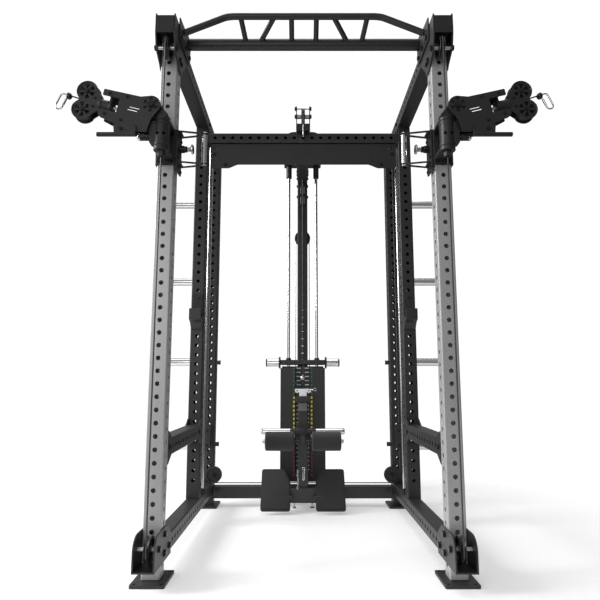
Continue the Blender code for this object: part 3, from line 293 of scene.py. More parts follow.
SILVER_COAT = Finish("silver powder coat", "grey_paint", (0.44, 0.44, 0.445), 0.40, 0.30)
BLACK_COAT = Finish("black powder coat", "black_paint", (0.015, 0.015, 0.016), 0.44)
CHROME = Finish("polished chrome", "chrome", (0.66, 0.66, 0.67), 0.16, 1.0, 900.0, 0.02, 0.03)
BRUSHED = Finish(
    "brushed steel", "chrome", (0.66, 0.66, 0.67), 0.30, 1.0, 260.0, 0.10, 0.05, 0.02, (1, 1, 0.04)
)
ZINC = Finish("pale zinc", "chrome", (0.62, 0.62, 0.63), 0.36, 0.8, 500.0, 0.06, 0.08)
BLACK_BOLT = Finish("black oxide bolt", "black_paint", (0.020, 0.020, 0.021), 0.34, 0.5, 900.0)
FOAM = Finish(
    "closed-cell foam", "foam", (
        0.018, 0.018, 0.019
    ), 0.82, 0.0, 420.0, 0.55, 0.20, 0.10, sheen=0.15
)
NYLON = Finish("moulded nylon", "nylon", (0.014, 0.014, 0.015), 0.40, 0.0, 1200.0, 0.10)
RUBBER = Finish("grip rubber", "nylon", (0.016, 0.016, 0.016), 0.72, 0.0, 500.0, 0.35)
CABLE_JACKET = Finish("cable jacket", "cable", (0.045, 0.045, 0.047), 0.38, 0.0, 500.0, 0.30)
PALE_CABLE = Finish("clear jacket cable", "cable", (0.42, 0.42, 0.43), 0.32, 0.5, 400.0, 0.40)
IRON = Finish("painted cast iron", "cast_iron", (0.022, 0.022, 0.023), 0.55, 0.1, 240.0, 0.45, 0.2)
GREY_LINER = Finish("grey liner", "cast_iron", (0.13, 0.13, 0.135), 0.50, 0.1, 500.0, 0.15)
PALE_MARK = Finish("pale mark", "cast_iron", (0.50, 0.50, 0.50), 0.55)
GREEN_MARK = Finish("green mark", "cast_iron", (0.010, 0.11, 0.045), 0.5)
YELLOW_MARK = Finish("yellow mark", "cast_iron", (0.55, 0.46, 0.03), 0.5)
RED_MARK = Finish("red mark", "cast_iron", (0.22, 0.012, 0.018), 0.5)


# ---- Mesh making ---------------------------------------------------------------------------
def keep(name: str, shape: bmesh.types.BMesh, turn_out: bool = True) -> bpy.types.Object:
    """Turns a bmesh into an object.

    Args:
        name: Name of the piece.
        shape: The mesh, which is freed.
        turn_out: Whether to point the faces outwards first.

    Returns:
        The new object.
    """
    if turn_out:
        bmesh.ops.recalc_face_normals(shape, faces=shape.faces[:])
    mesh = bpy.data.meshes.new(name)
    shape.to_mesh(mesh)
    shape.free()
    obj = bpy.data.objects.new(name, mesh)
    bpy.context.scene.collection.objects.link(obj)
    return obj


def block(name: str, low: Point, high: Point, edge: float = 0.0012) -> bpy.types.Object:
    """Makes a block with eased edges.

    Args:
        name: Name of the piece.
        low: Lowest corner.
        high: Highest corner.
        edge: Size of the eased edges.

    Returns:
        The block.
    """
    low_v, high_v = Vector(low), Vector(high)
    shape = bmesh.new()
    size = Matrix.Diagonal((*(high_v - low_v), 1.0))
    bmesh.ops.create_cube(shape, matrix=Matrix.Translation((low_v + high_v) / 2) @ size)
    edge = min(edge, min(high_v - low_v) * 0.4)
    bmesh.ops.bevel(
        shape, geom=shape.edges[:], offset=edge, segments=2, profile=0.5, affect="EDGES"
    )
    return keep(name, shape)


def rounded(low: Flat, high: Flat, corner: float, steps: int = 4) -> list[Flat]:
    """Outlines a rectangle with round corners.

    Args:
        low: Its lowest corner.
        high: Its highest corner.
        corner: Radius of the corners.
        steps: Segments round each corner.

    Returns:
        The points of the outline.
    """
    points = []
    centres = (
        (high[0] - corner, high[1] - corner, 0),
        (low[0] + corner, high[1] - corner, 90),
        (low[0] + corner, low[1] + corner, 180),
        (high[0] - corner, low[1] + corner, 270),
    )
    for across, up, start in centres:
        points += arc((across, up), corner, start, start + 90, steps)
    return points


def arc(centre: Flat, radius: float, start: float, end: float, steps: int = 12) -> list[Flat]:
    """Returns the points of an arc between two angles in degrees."""
    turns = [math.radians(start + (end - start) * step / steps) for step in range(steps + 1)]
    return [(centre[0] + radius * math.cos(a), centre[1] + radius * math.sin(a)) for a in turns]


def circle(centre: Flat, radius: float, steps: int = 28) -> list[Flat]:
    """Returns the points of a circle."""
    return arc(centre, radius, 0, 360, steps)[:-1]


def box_tube(
    name: str, low: Point, high: Point, axis: Axis, wall: float = 0.003, corner: float = 0.006
) -> bpy.types.Object:
    """Makes an open square tube with rounded corners.

    Args:
        name: Name of the piece.
        low: Lowest corner.
        high: Highest corner.
        axis: Axis that the tube runs along.
        wall: Wall thickness.
        corner: Outside corner radius.

    Returns:
        The tube.
    """
    others = [item.value for item in Axis if item is not axis]
    flat_low = (low[others[0]], low[others[1]])
    flat_high = (high[others[0]], high[others[1]])
    outer = rounded(flat_low, flat_high, corner)
    thin_low = (flat_low[0] + wall, flat_low[1] + wall)
    thin_high = (flat_high[0] - wall, flat_high[1] - wall)
    inner = rounded(thin_low, thin_high, max(0.001, corner - wall))
    ends = (low[axis.value], high[axis.value])
    loops = ((outer, ends[0]), (outer, ends[1]), (inner, ends[1]), (inner, ends[0]))
    shape = bmesh.new()
    rings = [
        [shape.verts.new(axis.lift(*point, along)) for point in outline] for outline, along in loops
    ]
    for first, second in zip(rings, rings[1:] + rings[:1]):
        for step, corner_vert in enumerate(first):
            after = (step + 1) % len(first)
            shape.faces.new((corner_vert, first[after], second[after], second[step]))
    return keep(name, shape)


def plate(
    name: str,
    outline: Sequence[Flat],
    axis: Axis,
    start: float,
    end: float,
    holes: Iterable[Sequence[Flat]] = (),
    edge: float = 0.0008,
) -> bpy.types.Object:
    """Makes a flat plate with eased edges, cut from a closed outline.

    Args:
        name: Name of the piece.
        outline: Points of the outline, as Axis.lift takes them.
        axis: Axis through the plate's thickness.
        start: One face's place along the axis.
        end: The other face's place along the axis.
        holes: Outlines of the holes.
        edge: Size of the eased edges.

    Returns:
        The plate.
    """
    curve = bpy.data.curves.new(name, "CURVE")
    curve.dimensions = "2D"
    curve.fill_mode = "BOTH"
    half = abs(end - start) / 2
    edge = min(edge, half * 0.6)
    curve.extrude = half - edge
    curve.bevel_depth = edge
    curve.bevel_resolution = 1
    curve.offset = -edge
    for loop in (outline, *holes):
        spline = curve.splines.new("POLY")
        spline.points.add(len(loop) - 1)
        for point, (across, up) in zip(spline.points, loop):
            point.co = (across, up, 0.0, 1.0)
        spline.use_cyclic_u = True
    holder = bpy.data.objects.new(name, curve)
    mesh = bpy.data.meshes.new_from_object(holder)
    bpy.data.objects.remove(holder)
    shape = bmesh.new()
    shape.from_mesh(mesh)
    bpy.data.meshes.remove(mesh)
    bmesh.ops.remove_doubles(shape, verts=shape.verts[:], dist=1e-6)
    middle = (start + end) / 2
    for vert in shape.verts:
        vert.co = axis.lift(vert.co.x, vert.co.y, middle + vert.co.z)
    return keep(name, shape)


def lathe(
    name: str,
    profile: Sequence[Flat],
    place: Point,
    direction: Point,
    steps: int = 36,
    is_ring: bool = False,
) -> bpy.types.Object:
    """Turns a profile round an axis.

    Args:
        name: Name of the piece.
        profile: Points of radius and height.
        place: Where height 0 is.
        direction: The axis.
        steps: Facets round the axis.
        is_ring: Whether the profile closes on itself, round a bore.

    Returns:
        The turned piece.
    """
    turn = Vector(direction).to_track_quat("Z", "Y").to_matrix().to_4x4()
    move = Matrix.Translation(place) @ turn
    shape = bmesh.new()
    rings = []
    for radius, height in profile:
        if radius < 1e-7:
            rings.append([shape.verts.new(move @ Vector((0, 0, height)))] * steps)
            continue
        angles = [2 * math.pi * step / steps for step in range(steps)]
        spots = [Vector((radius * math.cos(a), radius * math.sin(a), height)) for a in angles]
        rings.append([shape.verts.new(move @ spot) for spot in spots])
    pairs = list(zip(rings, rings[1:]))
    if is_ring:
        pairs.append((rings[-1], rings[0]))
    for first, second in pairs:
        for step in range(steps):
            after = (step + 1) % steps
            corners = (first[step], first[after], second[after], second[step])
            shape.faces.new(list(dict.fromkeys(corners)))
    return keep(name, shape)


def rod(
    name: str, start: Point, end: Point, radius: float, edge: float = 0.001, steps: int = 28
) -> bpy.types.Object:
    """Makes a round bar with eased ends.

    Args:
        name: Name of the piece.
        start: Middle of one end.
        end: Middle of the other end.
        radius: Its radius.
        edge: Size of the eased edges.
        steps: Facets round it.

    Returns:
        The bar.
    """
    run = Vector(end) - Vector(start)
    edge = min(edge, radius * 0.5, run.length * 0.3)
    profile = [
        (0.0, 0.0),
        (radius - edge, 0.0),
        (radius, edge),
        (radius, run.length - edge),
        (radius - edge, run.length),
        (0.0, run.length),
    ]
    return lathe(name, profile, start, tuple(run), steps)


def sleeve(
    name: str, start: Point, end: Point, radius: float, bore: float, steps: int = 32
) -> bpy.types.Object:
    """Makes a round tube with a bore and eased rims.

    Args:
        name: Name of the piece.
        start: Middle of one end.
        end: Middle of the other end.
        radius: Outside radius.
        bore: Inside radius.
        steps: Facets round it.

    Returns:
        The tube.
    """
    run = Vector(end) - Vector(start)
    edge = min(0.0008, (radius - bore) * 0.3)
    profile = [
        (bore, 0.0),
        (radius - edge, 0.0),
        (radius, edge),
        (radius, run.length - edge),
        (radius - edge, run.length),
        (bore, run.length),
    ]
    return lathe(name, profile, start, tuple(run), steps, is_ring=True)


def bent_rod(
    name: str, points: Sequence[Point], radius: float, is_closed: bool = False, sides: int = 4
) -> bpy.types.Object:
    """Makes a round wire or tube through the points.

    Args:
        name: Name of the piece.
        points: Places that its centre line passes.
        radius: Radius of the wire.
        is_closed: Whether it joins its own start.
        sides: Smoothness round the wire.

    Returns:
        The wire.
    """
    curve = bpy.data.curves.new(name, "CURVE")
    curve.dimensions = "3D"
    curve.bevel_depth = radius
    curve.bevel_resolution = sides
    curve.use_fill_caps = not is_closed
    spline = curve.splines.new("POLY")
    spline.points.add(len(points) - 1)
    for spot, place in zip(spline.points, points):
        spot.co = (*place, 1.0)
    spline.use_cyclic_u = is_closed
    holder = bpy.data.objects.new(name, curve)
    mesh = bpy.data.meshes.new_from_object(holder)
    bpy.data.objects.remove(holder)
    shape = bmesh.new()
    shape.from_mesh(mesh)
    bpy.data.meshes.remove(mesh)
    bmesh.ops.remove_doubles(shape, verts=shape.verts[:], dist=1e-6)
    return keep(name, shape)


def eased(points: Sequence[Point], reach: float, steps: int = 5) -> list[Point]:
    """Rounds a path's inner corners.

    Args:
        points: The path.
        reach: How far from each corner the curve starts.
        steps: Segments of each curve.

    Returns:
        The rounded path.
    """
    path = [Vector(point) for point in points]
    smooth = [path[0]]
    for before, corner, after in zip(path, path[1:], path[2:]):
        enter = corner + (before - corner).normalized() * reach
        leave = corner + (after - corner).normalized() * reach
        for step in range(steps + 1):
            part = step / steps
            smooth.append(enter.lerp(corner, part).lerp(corner.lerp(leave, part), part))
    smooth.append(path[-1])
    return [tuple(point) for point in smooth]


def join(name: str, *pieces: bpy.types.Object) -> bpy.types.Object:
    """Makes one object of several.

    Args:
        name: Name of the piece.
        pieces: The objects, which are used up.

    Returns:
        The joined object.
    """
    shape = bmesh.new()
    for piece in pieces:
        shape.from_mesh(piece.data)
        bpy.data.meshes.remove(piece.data)
    return keep(name, shape, turn_out=False)


# ---- Geometry Nodes ------------------------------------------------------------------------
@dataclass
class NodeKit:
    """Builds the node trees that repeat holes, plates, marks and bolts, each one once."""

    trees: dict[str, bpy.types.NodeTree] = field(default_factory=dict)

    def start_tree(
        self, name: str, inputs: dict[str, str]
    ) -> tuple[bpy.types.NodeTree, bpy.types.Node, bpy.types.Node]:
        """Makes a tree with a geometry input, the named inputs and a geometry output.

        Args:
            name: Name of the tree.
            inputs: Input name to its socket type.

        Returns:
            The tree, its input node and its output node.
        """
        tree = bpy.data.node_groups.new(name, "GeometryNodeTree")
        tree.interface.new_socket("Geometry", in_out="INPUT", socket_type="NodeSocketGeometry")
        for label, kind in inputs.items():
            tree.interface.new_socket(label, in_out="INPUT", socket_type=kind)
        tree.interface.new_socket("Geometry", in_out="OUTPUT", socket_type="NodeSocketGeometry")
        return tree, tree.nodes.new("NodeGroupInput"), tree.nodes.new("NodeGroupOutput")

    def end_tree(
        self,
        tree: bpy.types.NodeTree,
        last: bpy.types.NodeSocket,
        start: bpy.types.Node,
        end: bpy.types.Node,
    ) -> bpy.types.NodeTree:
        """Ends a tree in Realize Instances and Set Material.

        Args:
            tree: The tree.
            last: Where its geometry comes out.
            start: Its input node.
            end: Its output node.

        Returns:
            The tree.
        """
        whole = tree.nodes.new("GeometryNodeRealizeInstances")
        paint = tree.nodes.new("GeometryNodeSetMaterial")
        tree.links.new(last, whole.inputs[0])
        tree.links.new(whole.outputs[0], paint.inputs["Geometry"])
        tree.links.new(start.outputs["Material"], paint.inputs["Material"])
        tree.links.new(paint.outputs[0], end.inputs["Geometry"])
        return tree

    def line(self, tree: bpy.types.NodeTree, start: bpy.types.Node) -> bpy.types.Node:
        """Lays Count points from First, a Step apart.

        Args:
            tree: The tree.
            start: Its input node.

        Returns:
            The node of the mesh line.
        """
        line = tree.nodes.new("GeometryNodeMeshLine")
        line.mode = "OFFSET"
        tree.links.new(start.outputs["Count"], line.inputs["Count"])
        tree.links.new(start.outputs["First"], line.inputs["Start Location"])
        tree.links.new(start.outputs["Step"], line.inputs["Offset"])
        return line

    def row(self) -> bpy.types.NodeTree:
        """Tree that repeats the piece along a line.

        Returns:
            The tree, made on first use.
        """
        if "row" not in self.trees:
            kinds = {
                "Count": "NodeSocketInt",
                "First": "NodeSocketVector",
                "Step": "NodeSocketVector",
                "Material": "NodeSocketMaterial",
            }
            tree, start, end = self.start_tree("row of copies", kinds)
            line = self.line(tree, start)
            copies = tree.nodes.new("GeometryNodeInstanceOnPoints")
            tree.links.new(line.outputs[0], copies.inputs["Points"])
            tree.links.new(start.outputs["Geometry"], copies.inputs["Instance"])
            self.trees["row"] = self.end_tree(tree, copies.outputs[0], start, end)
        return self.trees["row"]

    def punch(self) -> bpy.types.NodeTree:
        """Tree that drills a row of round holes through the piece.

        Returns:
            The tree, made on first use.
        """
        if "punch" not in self.trees:
            kinds = {
                "Count": "NodeSocketInt",
                "First": "NodeSocketVector",
                "Step": "NodeSocketVector",
                "Radius": "NodeSocketFloat",
                "Length": "NodeSocketFloat",
                "Turn": "NodeSocketVector",
                "Material": "NodeSocketMaterial",
            }
            tree, start, end = self.start_tree("row of holes", kinds)
            line = self.line(tree, start)
            drill = tree.nodes.new("GeometryNodeMeshCylinder")
            drill.inputs["Vertices"].default_value = 18
            tree.links.new(start.outputs["Radius"], drill.inputs["Radius"])
            tree.links.new(start.outputs["Length"], drill.inputs["Depth"])
            copies = self.turned_copies(tree, start, line.outputs[0], drill.outputs["Mesh"])
            whole = tree.nodes.new("GeometryNodeRealizeInstances")
            tree.links.new(copies.outputs[0], whole.inputs[0])
            cut = tree.nodes.new("GeometryNodeMeshBoolean")
            cut.operation = "DIFFERENCE"
            cut.solver = "EXACT"
            tree.links.new(start.outputs["Geometry"], cut.inputs["Mesh 1"])
            tree.links.new(whole.outputs[0], cut.inputs["Mesh 2"])
            self.trees["punch"] = self.end_tree(tree, cut.outputs["Mesh"], start, end)
        return self.trees["punch"]

    def turned_copies(
        self,
        tree: bpy.types.NodeTree,
        start: bpy.types.Node,
        points: bpy.types.NodeSocket,
        item: bpy.types.NodeSocket,
    ) -> bpy.types.Node:
        """Puts copies of an item on points, each turned by the input Turn.

        Args:
            tree: The tree.
            start: Its input node.
            points: Where the points come out.
            item: Where the item comes out.

        Returns:
            The node of the copies.
        """
        copies = tree.nodes.new("GeometryNodeInstanceOnPoints")
        turn = tree.nodes.new("FunctionNodeEulerToRotation")
        tree.links.new(start.outputs["Turn"], turn.inputs[0])
        tree.links.new(points, copies.inputs["Points"])
        tree.links.new(item, copies.inputs["Instance"])
        tree.links.new(turn.outputs[0], copies.inputs["Rotation"])
        return copies

    def bolts(self) -> bpy.types.NodeTree:
        """Tree that sets a hex head on a washer on every point, facing along the turned +Z.

        Returns:
            The tree, made on first use.
        """
        if "bolts" not in self.trees:
            kinds = {
                "Radius": "NodeSocketFloat",
                "Turn": "NodeSocketVector",
                "Material": "NodeSocketMaterial",
            }
            tree, start, end = self.start_tree("bolt heads", kinds)
            joined = tree.nodes.new("GeometryNodeJoinGeometry")
            layers = ((18, 1.30, 0.10, 0.0), (6, 1.00, 0.50, 0.10), (6, 0.86, 0.58, 0.10))
            for sides, width, tall, base in layers:
                layer = tree.nodes.new("GeometryNodeMeshCylinder")
                layer.inputs["Vertices"].default_value = sides
                raised = tree.nodes.new("ShaderNodeCombineXYZ")
                targets = (layer.inputs["Radius"], layer.inputs["Depth"], raised.inputs["Z"])
                for share, target in zip((width, tall, base + tall / 2), targets):
                    scaled = tree.nodes.new("ShaderNodeMath")
                    scaled.operation = "MULTIPLY"
                    scaled.inputs[1].default_value = share
                    tree.links.new(start.outputs["Radius"], scaled.inputs[0])
                    tree.links.new(scaled.outputs[0], target)
                move = tree.nodes.new("GeometryNodeTransform")
                tree.links.new(layer.outputs["Mesh"], move.inputs["Geometry"])
                tree.links.new(raised.outputs[0], move.inputs["Translation"])
                tree.links.new(move.outputs[0], joined.inputs[0])
            copies = self.turned_copies(tree, start, start.outputs["Geometry"], joined.outputs[0])
            self.trees["bolts"] = self.end_tree(tree, copies.outputs[0], start, end)
        return self.trees["bolts"]

    def apply(self, obj: bpy.types.Object, tree: bpy.types.NodeTree, **values) -> None:
        """Adds the tree to the piece as a modifier with its inputs set.

        Args:
            obj: The piece.
            tree: The tree.
            values: Input name, in lower case, to its value.
        """
        step = obj.modifiers.new(tree.name, "NODES")
        step.node_group = tree
        for item in tree.interface.items_tree:
            key = item.name.lower()
            if item.in_out == "INPUT" and key in values:
                step[item.identifier] = values[key]


KIT = NodeKit()


def mirror(obj: bpy.types.Object) -> bpy.types.Object:
    """Carries a piece's mesh to the other side of the cage and returns the piece."""
    obj.data.transform(Matrix.Diagonal((-1, 1, 1, 1)))
    obj.data.flip_normals()
    return obj


@dataclass
class Workshop:
    """Keeps the pieces with their finish and body until they are all made, then dresses them."""

    jobs: list[tuple] = field(default_factory=list)

    def add(
        self,
        obj: bpy.types.Object,
        finish: Finish,
        body: str | None = "frame",
        stands_for: Sequence[str] = (),
    ) -> bpy.types.Object:
        """Books a piece in.

        Args:
            obj: The piece, in place.
            finish: Its finish.
            body: The body that it rides on, or None if it joins two.
            stands_for: The nodes of the frame that it replaces.

        Returns:
            The piece.
        """
        if not obj.data.materials:
            obj.data.materials.append(finish.material())
        self.jobs.append((obj, finish, body, tuple(stands_for)))
        return obj

    def row(
        self,
        obj: bpy.types.Object,
        finish: Finish,
        count: int,
        step: Point,
        body: str = "frame",
        stands_for: Sequence[str] = (),
    ) -> bpy.types.Object:
        """Books in a piece repeated along a line.

        Args:
            obj: The first one of the row.
            finish: Its finish.
            count: How many there are.
            step: From each one to the next.
            body: The body that they ride on.
            stands_for: The nodes of the frame that they replace.

        Returns:
            The row.
        """
        paint = finish.material()
        KIT.apply(obj, KIT.row(), count=count, first=(0.0, 0.0, 0.0), step=step, material=paint)
        return self.add(obj, finish, body, stands_for)

    def punch(
        self,
        obj: bpy.types.Object,
        finish: Finish,
        first: Point,
        step: Point,
        count: int,
        axis: Axis,
        radius: float = 0.0095,
        length: float = 0.12,
    ) -> bpy.types.Object:
        """Drills a row of holes through a piece.

        Args:
            obj: The piece.
            finish: Its finish.
            first: Middle of the first hole.
            step: From each hole to the next.
            count: How many holes there are.
            axis: Axis that the holes run along.
            radius: Radius of a hole.
            length: Length of the drill.

        Returns:
            The piece.
        """
        KIT.apply(
            obj,
            KIT.punch(),
            count=count,
            first=first,
            step=step,
            radius=radius,
            length=length,
            turn=tuple(axis.turn()),
            material=finish.material(),
        )
        self.settle(obj)
        return obj

    def bolts(
        self,
        name: str,
        places: Sequence[Point],
        axis: Axis,
        sense: int,
        body: str = "frame",
        radius: float = 0.011,
        finish: Finish = BLACK_BOLT,
    ) -> bpy.types.Object:
        """Sets bolt heads on the places.

        Args:
            name: Name of the piece.
            places: Where each head's seat is.
            axis: Axis that the bolts run along.
            sense: 1 if the heads look along the axis, -1 if against it.
            body: The body that they ride on.
            radius: Size of the hex heads.
            finish: Their finish.

        Returns:
            The heads as one piece.
        """
        shape = bmesh.new()
        for place in places:
            shape.verts.new(place)
        obj = keep(name, shape, turn_out=False)
        turn = axis.turn()
        if sense < 0:
            turn = Euler((turn.x + math.pi, turn.y, turn.z))
            if axis is Axis.X:
                turn = Euler((0.0, -math.pi / 2, 0.0))
        KIT.apply(obj, KIT.bolts(), radius=radius, turn=tuple(turn), material=finish.material())
        if body in CENTRE_BODIES and all(abs(place[0]) < 0.001 for place in places):
            return self.add(obj, finish, body)
        self.both(obj, finish, body)
        return obj

    def both(
        self,
        obj: bpy.types.Object,
        finish: Finish,
        body: str = "frame",
        stands_for: Sequence[str] = (),
    ) -> None:
        """Books in a piece made at -X and its mirror image at +X.

        Args:
            obj: The left piece.
            finish: Its finish.
            body: The body that it rides on, without its side's ending.
            stands_for: The nodes that it replaces, without their side's ending.
        """
        self.settle(obj)
        stem = obj.name
        twin = bpy.data.objects.new(stem, obj.data.copy())
        bpy.context.scene.collection.objects.link(twin)
        mirror(twin)
        for side, piece in ((Side.LEFT, obj), (Side.RIGHT, twin)):
            piece.name = side.name_of(stem)
            piece.data.name = piece.name
            rides = body if body in CENTRE_BODIES else side.name_of(body)
            self.add(piece, finish, rides, [side.name_of(node) for node in stands_for])

    def settle(self, obj: bpy.types.Object) -> None:
        """Swaps a piece's mesh for the one that its modifiers give, and removes them.

        Args:
            obj: The piece.
        """
        if not obj.modifiers:
            return
        bpy.context.view_layer.update()
        graph = bpy.context.evaluated_depsgraph_get()
        mesh = bpy.data.meshes.new_from_object(obj.evaluated_get(graph), depsgraph=graph)
        obj.modifiers.clear()
        old, obj.data = obj.data, mesh
        mesh.name = obj.name
        bpy.data.meshes.remove(old)

    def dress_all(self) -> None:
        """Weights every piece's normals, gives it its finish and puts it on its body."""
        for obj, *_ in self.jobs:
            self.settle(obj)
            obj.data.shade_smooth()
            obj.data.set_sharp_from_angle(angle=math.radians(32))
            weigh = obj.modifiers.new("weighted normals", "WEIGHTED_NORMAL")
            weigh.keep_sharp = True
        for obj, finish, body, stands_for in self.jobs:
            self.settle(obj)
            painted = obj.data.attributes.get("material_index")
            if painted is not None:
                obj.data.attributes.remove(painted)
            obj.data.materials.clear()
            obj.data.materials.append(finish.material())
            if body is not None:
                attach(obj, body)
            if stands_for:
                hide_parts(*stands_for)
            LOG.info("%s on %s: %d faces", obj.name, body, len(obj.data.polygons))


CENTRE_BODIES = ("frame", "lift_stack", "selector_pin", "knee_carriage", "lat_carabiner")
SHOP = Workshop()


# ---- Frame ---------------------------------------------------------------------------------
POST_LOW, POST_HIGH = (Vector(corner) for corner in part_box("upright_middle_left"))
OUTER, INNER = POST_LOW.x, POST_HIGH.x
POST = (OUTER + INNER) / 2
TUBE = INNER - OUTER
HALF = TUBE / 2
MIDDLE = POST_LOW.y
FOOT_LOW, FOOT_HIGH = (Vector(corner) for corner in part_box("upright_front_left"))
FRONT = (FOOT_LOW.y + FOOT_HIGH.y) / 2 - HALF
REAR_LOW, REAR_HIGH = (Vector(corner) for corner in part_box("upright_rear_left"))
REAR = (REAR_LOW.y + REAR_HIGH.y) / 2 - HALF
FOOT = 0.012
PLATE = 0.006
PITCH = 0.050
TOP = POST_HIGH.z
BEAM_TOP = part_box("top_beam_left")[1][2] - 0.008
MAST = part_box("stack_pulley")[0][1] - 0.010 - TUBE
STACK_LOW, STACK_HIGH = (Vector(corner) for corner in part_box("weight_stack"))
STACK_Y = (STACK_LOW.y + STACK_HIGH.y) / 2
LAT_LOW, LAT_HIGH = (Vector(corner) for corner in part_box("lat_pulley"))
LAT_Y = (LAT_LOW.y + LAT_HIGH.y) / 2


def drilled(
    name: str, low: Point, high: Point, finish: Finish, face_top: float, side_top: float
) -> bpy.types.Object:
    """Makes an upright tube with a row of holes through each pair of faces.

    Args:
        name: Name of the piece.
        low: Lowest corner.
        high: Highest corner.
        finish: Its finish.
        face_top: Height of the top hole of the front face.
        side_top: Height of the top hole of the side faces.

    Returns:
        The tube.
    """
    tube = box_tube(name, low, high, Axis.Z)
    middle = ((low[0] + high[0]) / 2, (low[1] + high[1]) / 2)
    for top, axis in ((face_top, Axis.Y), (side_top, Axis.X)):
        count = int((top - low[2] - 0.045) / PITCH) + 1
        SHOP.punch(tube, finish, (*middle, top), (0, 0, -PITCH), count, axis)
    return tube


@dataclass
class Posts:
    """The six punched posts with their foot plates and the rear ones' storage horns."""

    face_top: float = 2.083
    side_top: float = 2.058
    horn_heights: tuple[float, ...] = (0.350, 0.860, 1.370, 1.880)
    horn_radius: float = 0.024
    flange_radius: float = 0.040

    def post(self, stem: str, front: float, low: float, finish: Finish) -> None:
        """Makes a pair of posts that stand for the node of that name."""
        tube = drilled(
            f"{stem}_tube",
            (OUTER, front, low),
            (INNER, front + TUBE, TOP),
            finish,
            self.face_top,
            self.side_top,
        )
        SHOP.both(tube, finish, stands_for=(stem,))

    def foot(self, label: str, front: float, low: Vector, high: Vector) -> None:
        """Makes a pair of foot plates with anchor holes and weld beads round the posts."""
        outline = rounded((low.x, low.y), (high.x, high.y), 0.008)
        middle = front + HALF
        places = [(POST + x, middle + y) for x in (-0.049, 0.049) for y in (-0.069, 0.069)]
        holes = [circle(place, 0.0055, 20) for place in places]
        SHOP.both(plate(f"{label}_foot_plate", outline, Axis.Z, 0, FOOT, holes), BLACK_COAT)
        edge = rounded((OUTER, front), (INNER, front + TUBE), 0.006)
        ring = [(x, y, FOOT + 0.0005) for x, y in edge]
        SHOP.both(bent_rod(f"{label}_foot_weld", ring, 0.0028, True, 2), BLACK_COAT)

    def horns(self) -> None:
        """Makes the storage horns, each a chrome sleeve on a flange with a domed end cap."""
        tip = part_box("upright_rear_left")[0][0]
        middle = REAR + HALF
        for number, height in enumerate(self.horn_heights, 1):
            root = (OUTER, middle, height)
            reach = OUTER - tip
            radius = self.horn_radius
            sleeve_shape = [
                (0.0, 0.009),
                (radius, 0.009),
                (radius, reach - 0.006),
                (radius - 0.002, reach - 0.004),
                (0.0, reach - 0.004),
            ]
            SHOP.both(lathe(f"horn_{number}", sleeve_shape, root, (-1, 0, 0)), CHROME)
            flange = [
                (0.0, 0.0),
                (self.flange_radius, 0.0),
                (self.flange_radius, 0.008),
                (self.flange_radius - 0.002, 0.010),
                (radius + 0.003, 0.010),
                (radius + 0.001, 0.014),
                (0.0, 0.014),
            ]
            SHOP.both(lathe(f"horn_flange_{number}", flange, root, (-1, 0, 0)), BLACK_COAT)
            cap = [(0.0, reach - 0.006), (radius - 0.003, reach - 0.006)]
            cap += [(radius - 0.005, reach - 0.001), (0.0, reach)]
            SHOP.both(lathe(f"horn_cap_{number}", cap, root, (-1, 0, 0)), NYLON)

    def build(self) -> None:
        """Builds the posts."""
        self.post("upright_front", FRONT, FOOT, SILVER_COAT)
        self.post("upright_middle", MIDDLE, POST_LOW.z, BLACK_COAT)
        self.post("upright_rear", REAR, FOOT, BLACK_COAT)
        self.foot("front", FRONT, FOOT_LOW, FOOT_HIGH)
        rear_low = Vector((FOOT_LOW.x, REAR_LOW.y, 0))
        self.foot("rear", REAR, rear_low, Vector((FOOT_HIGH.x, REAR_HIGH.y, 0)))
        self.horns()


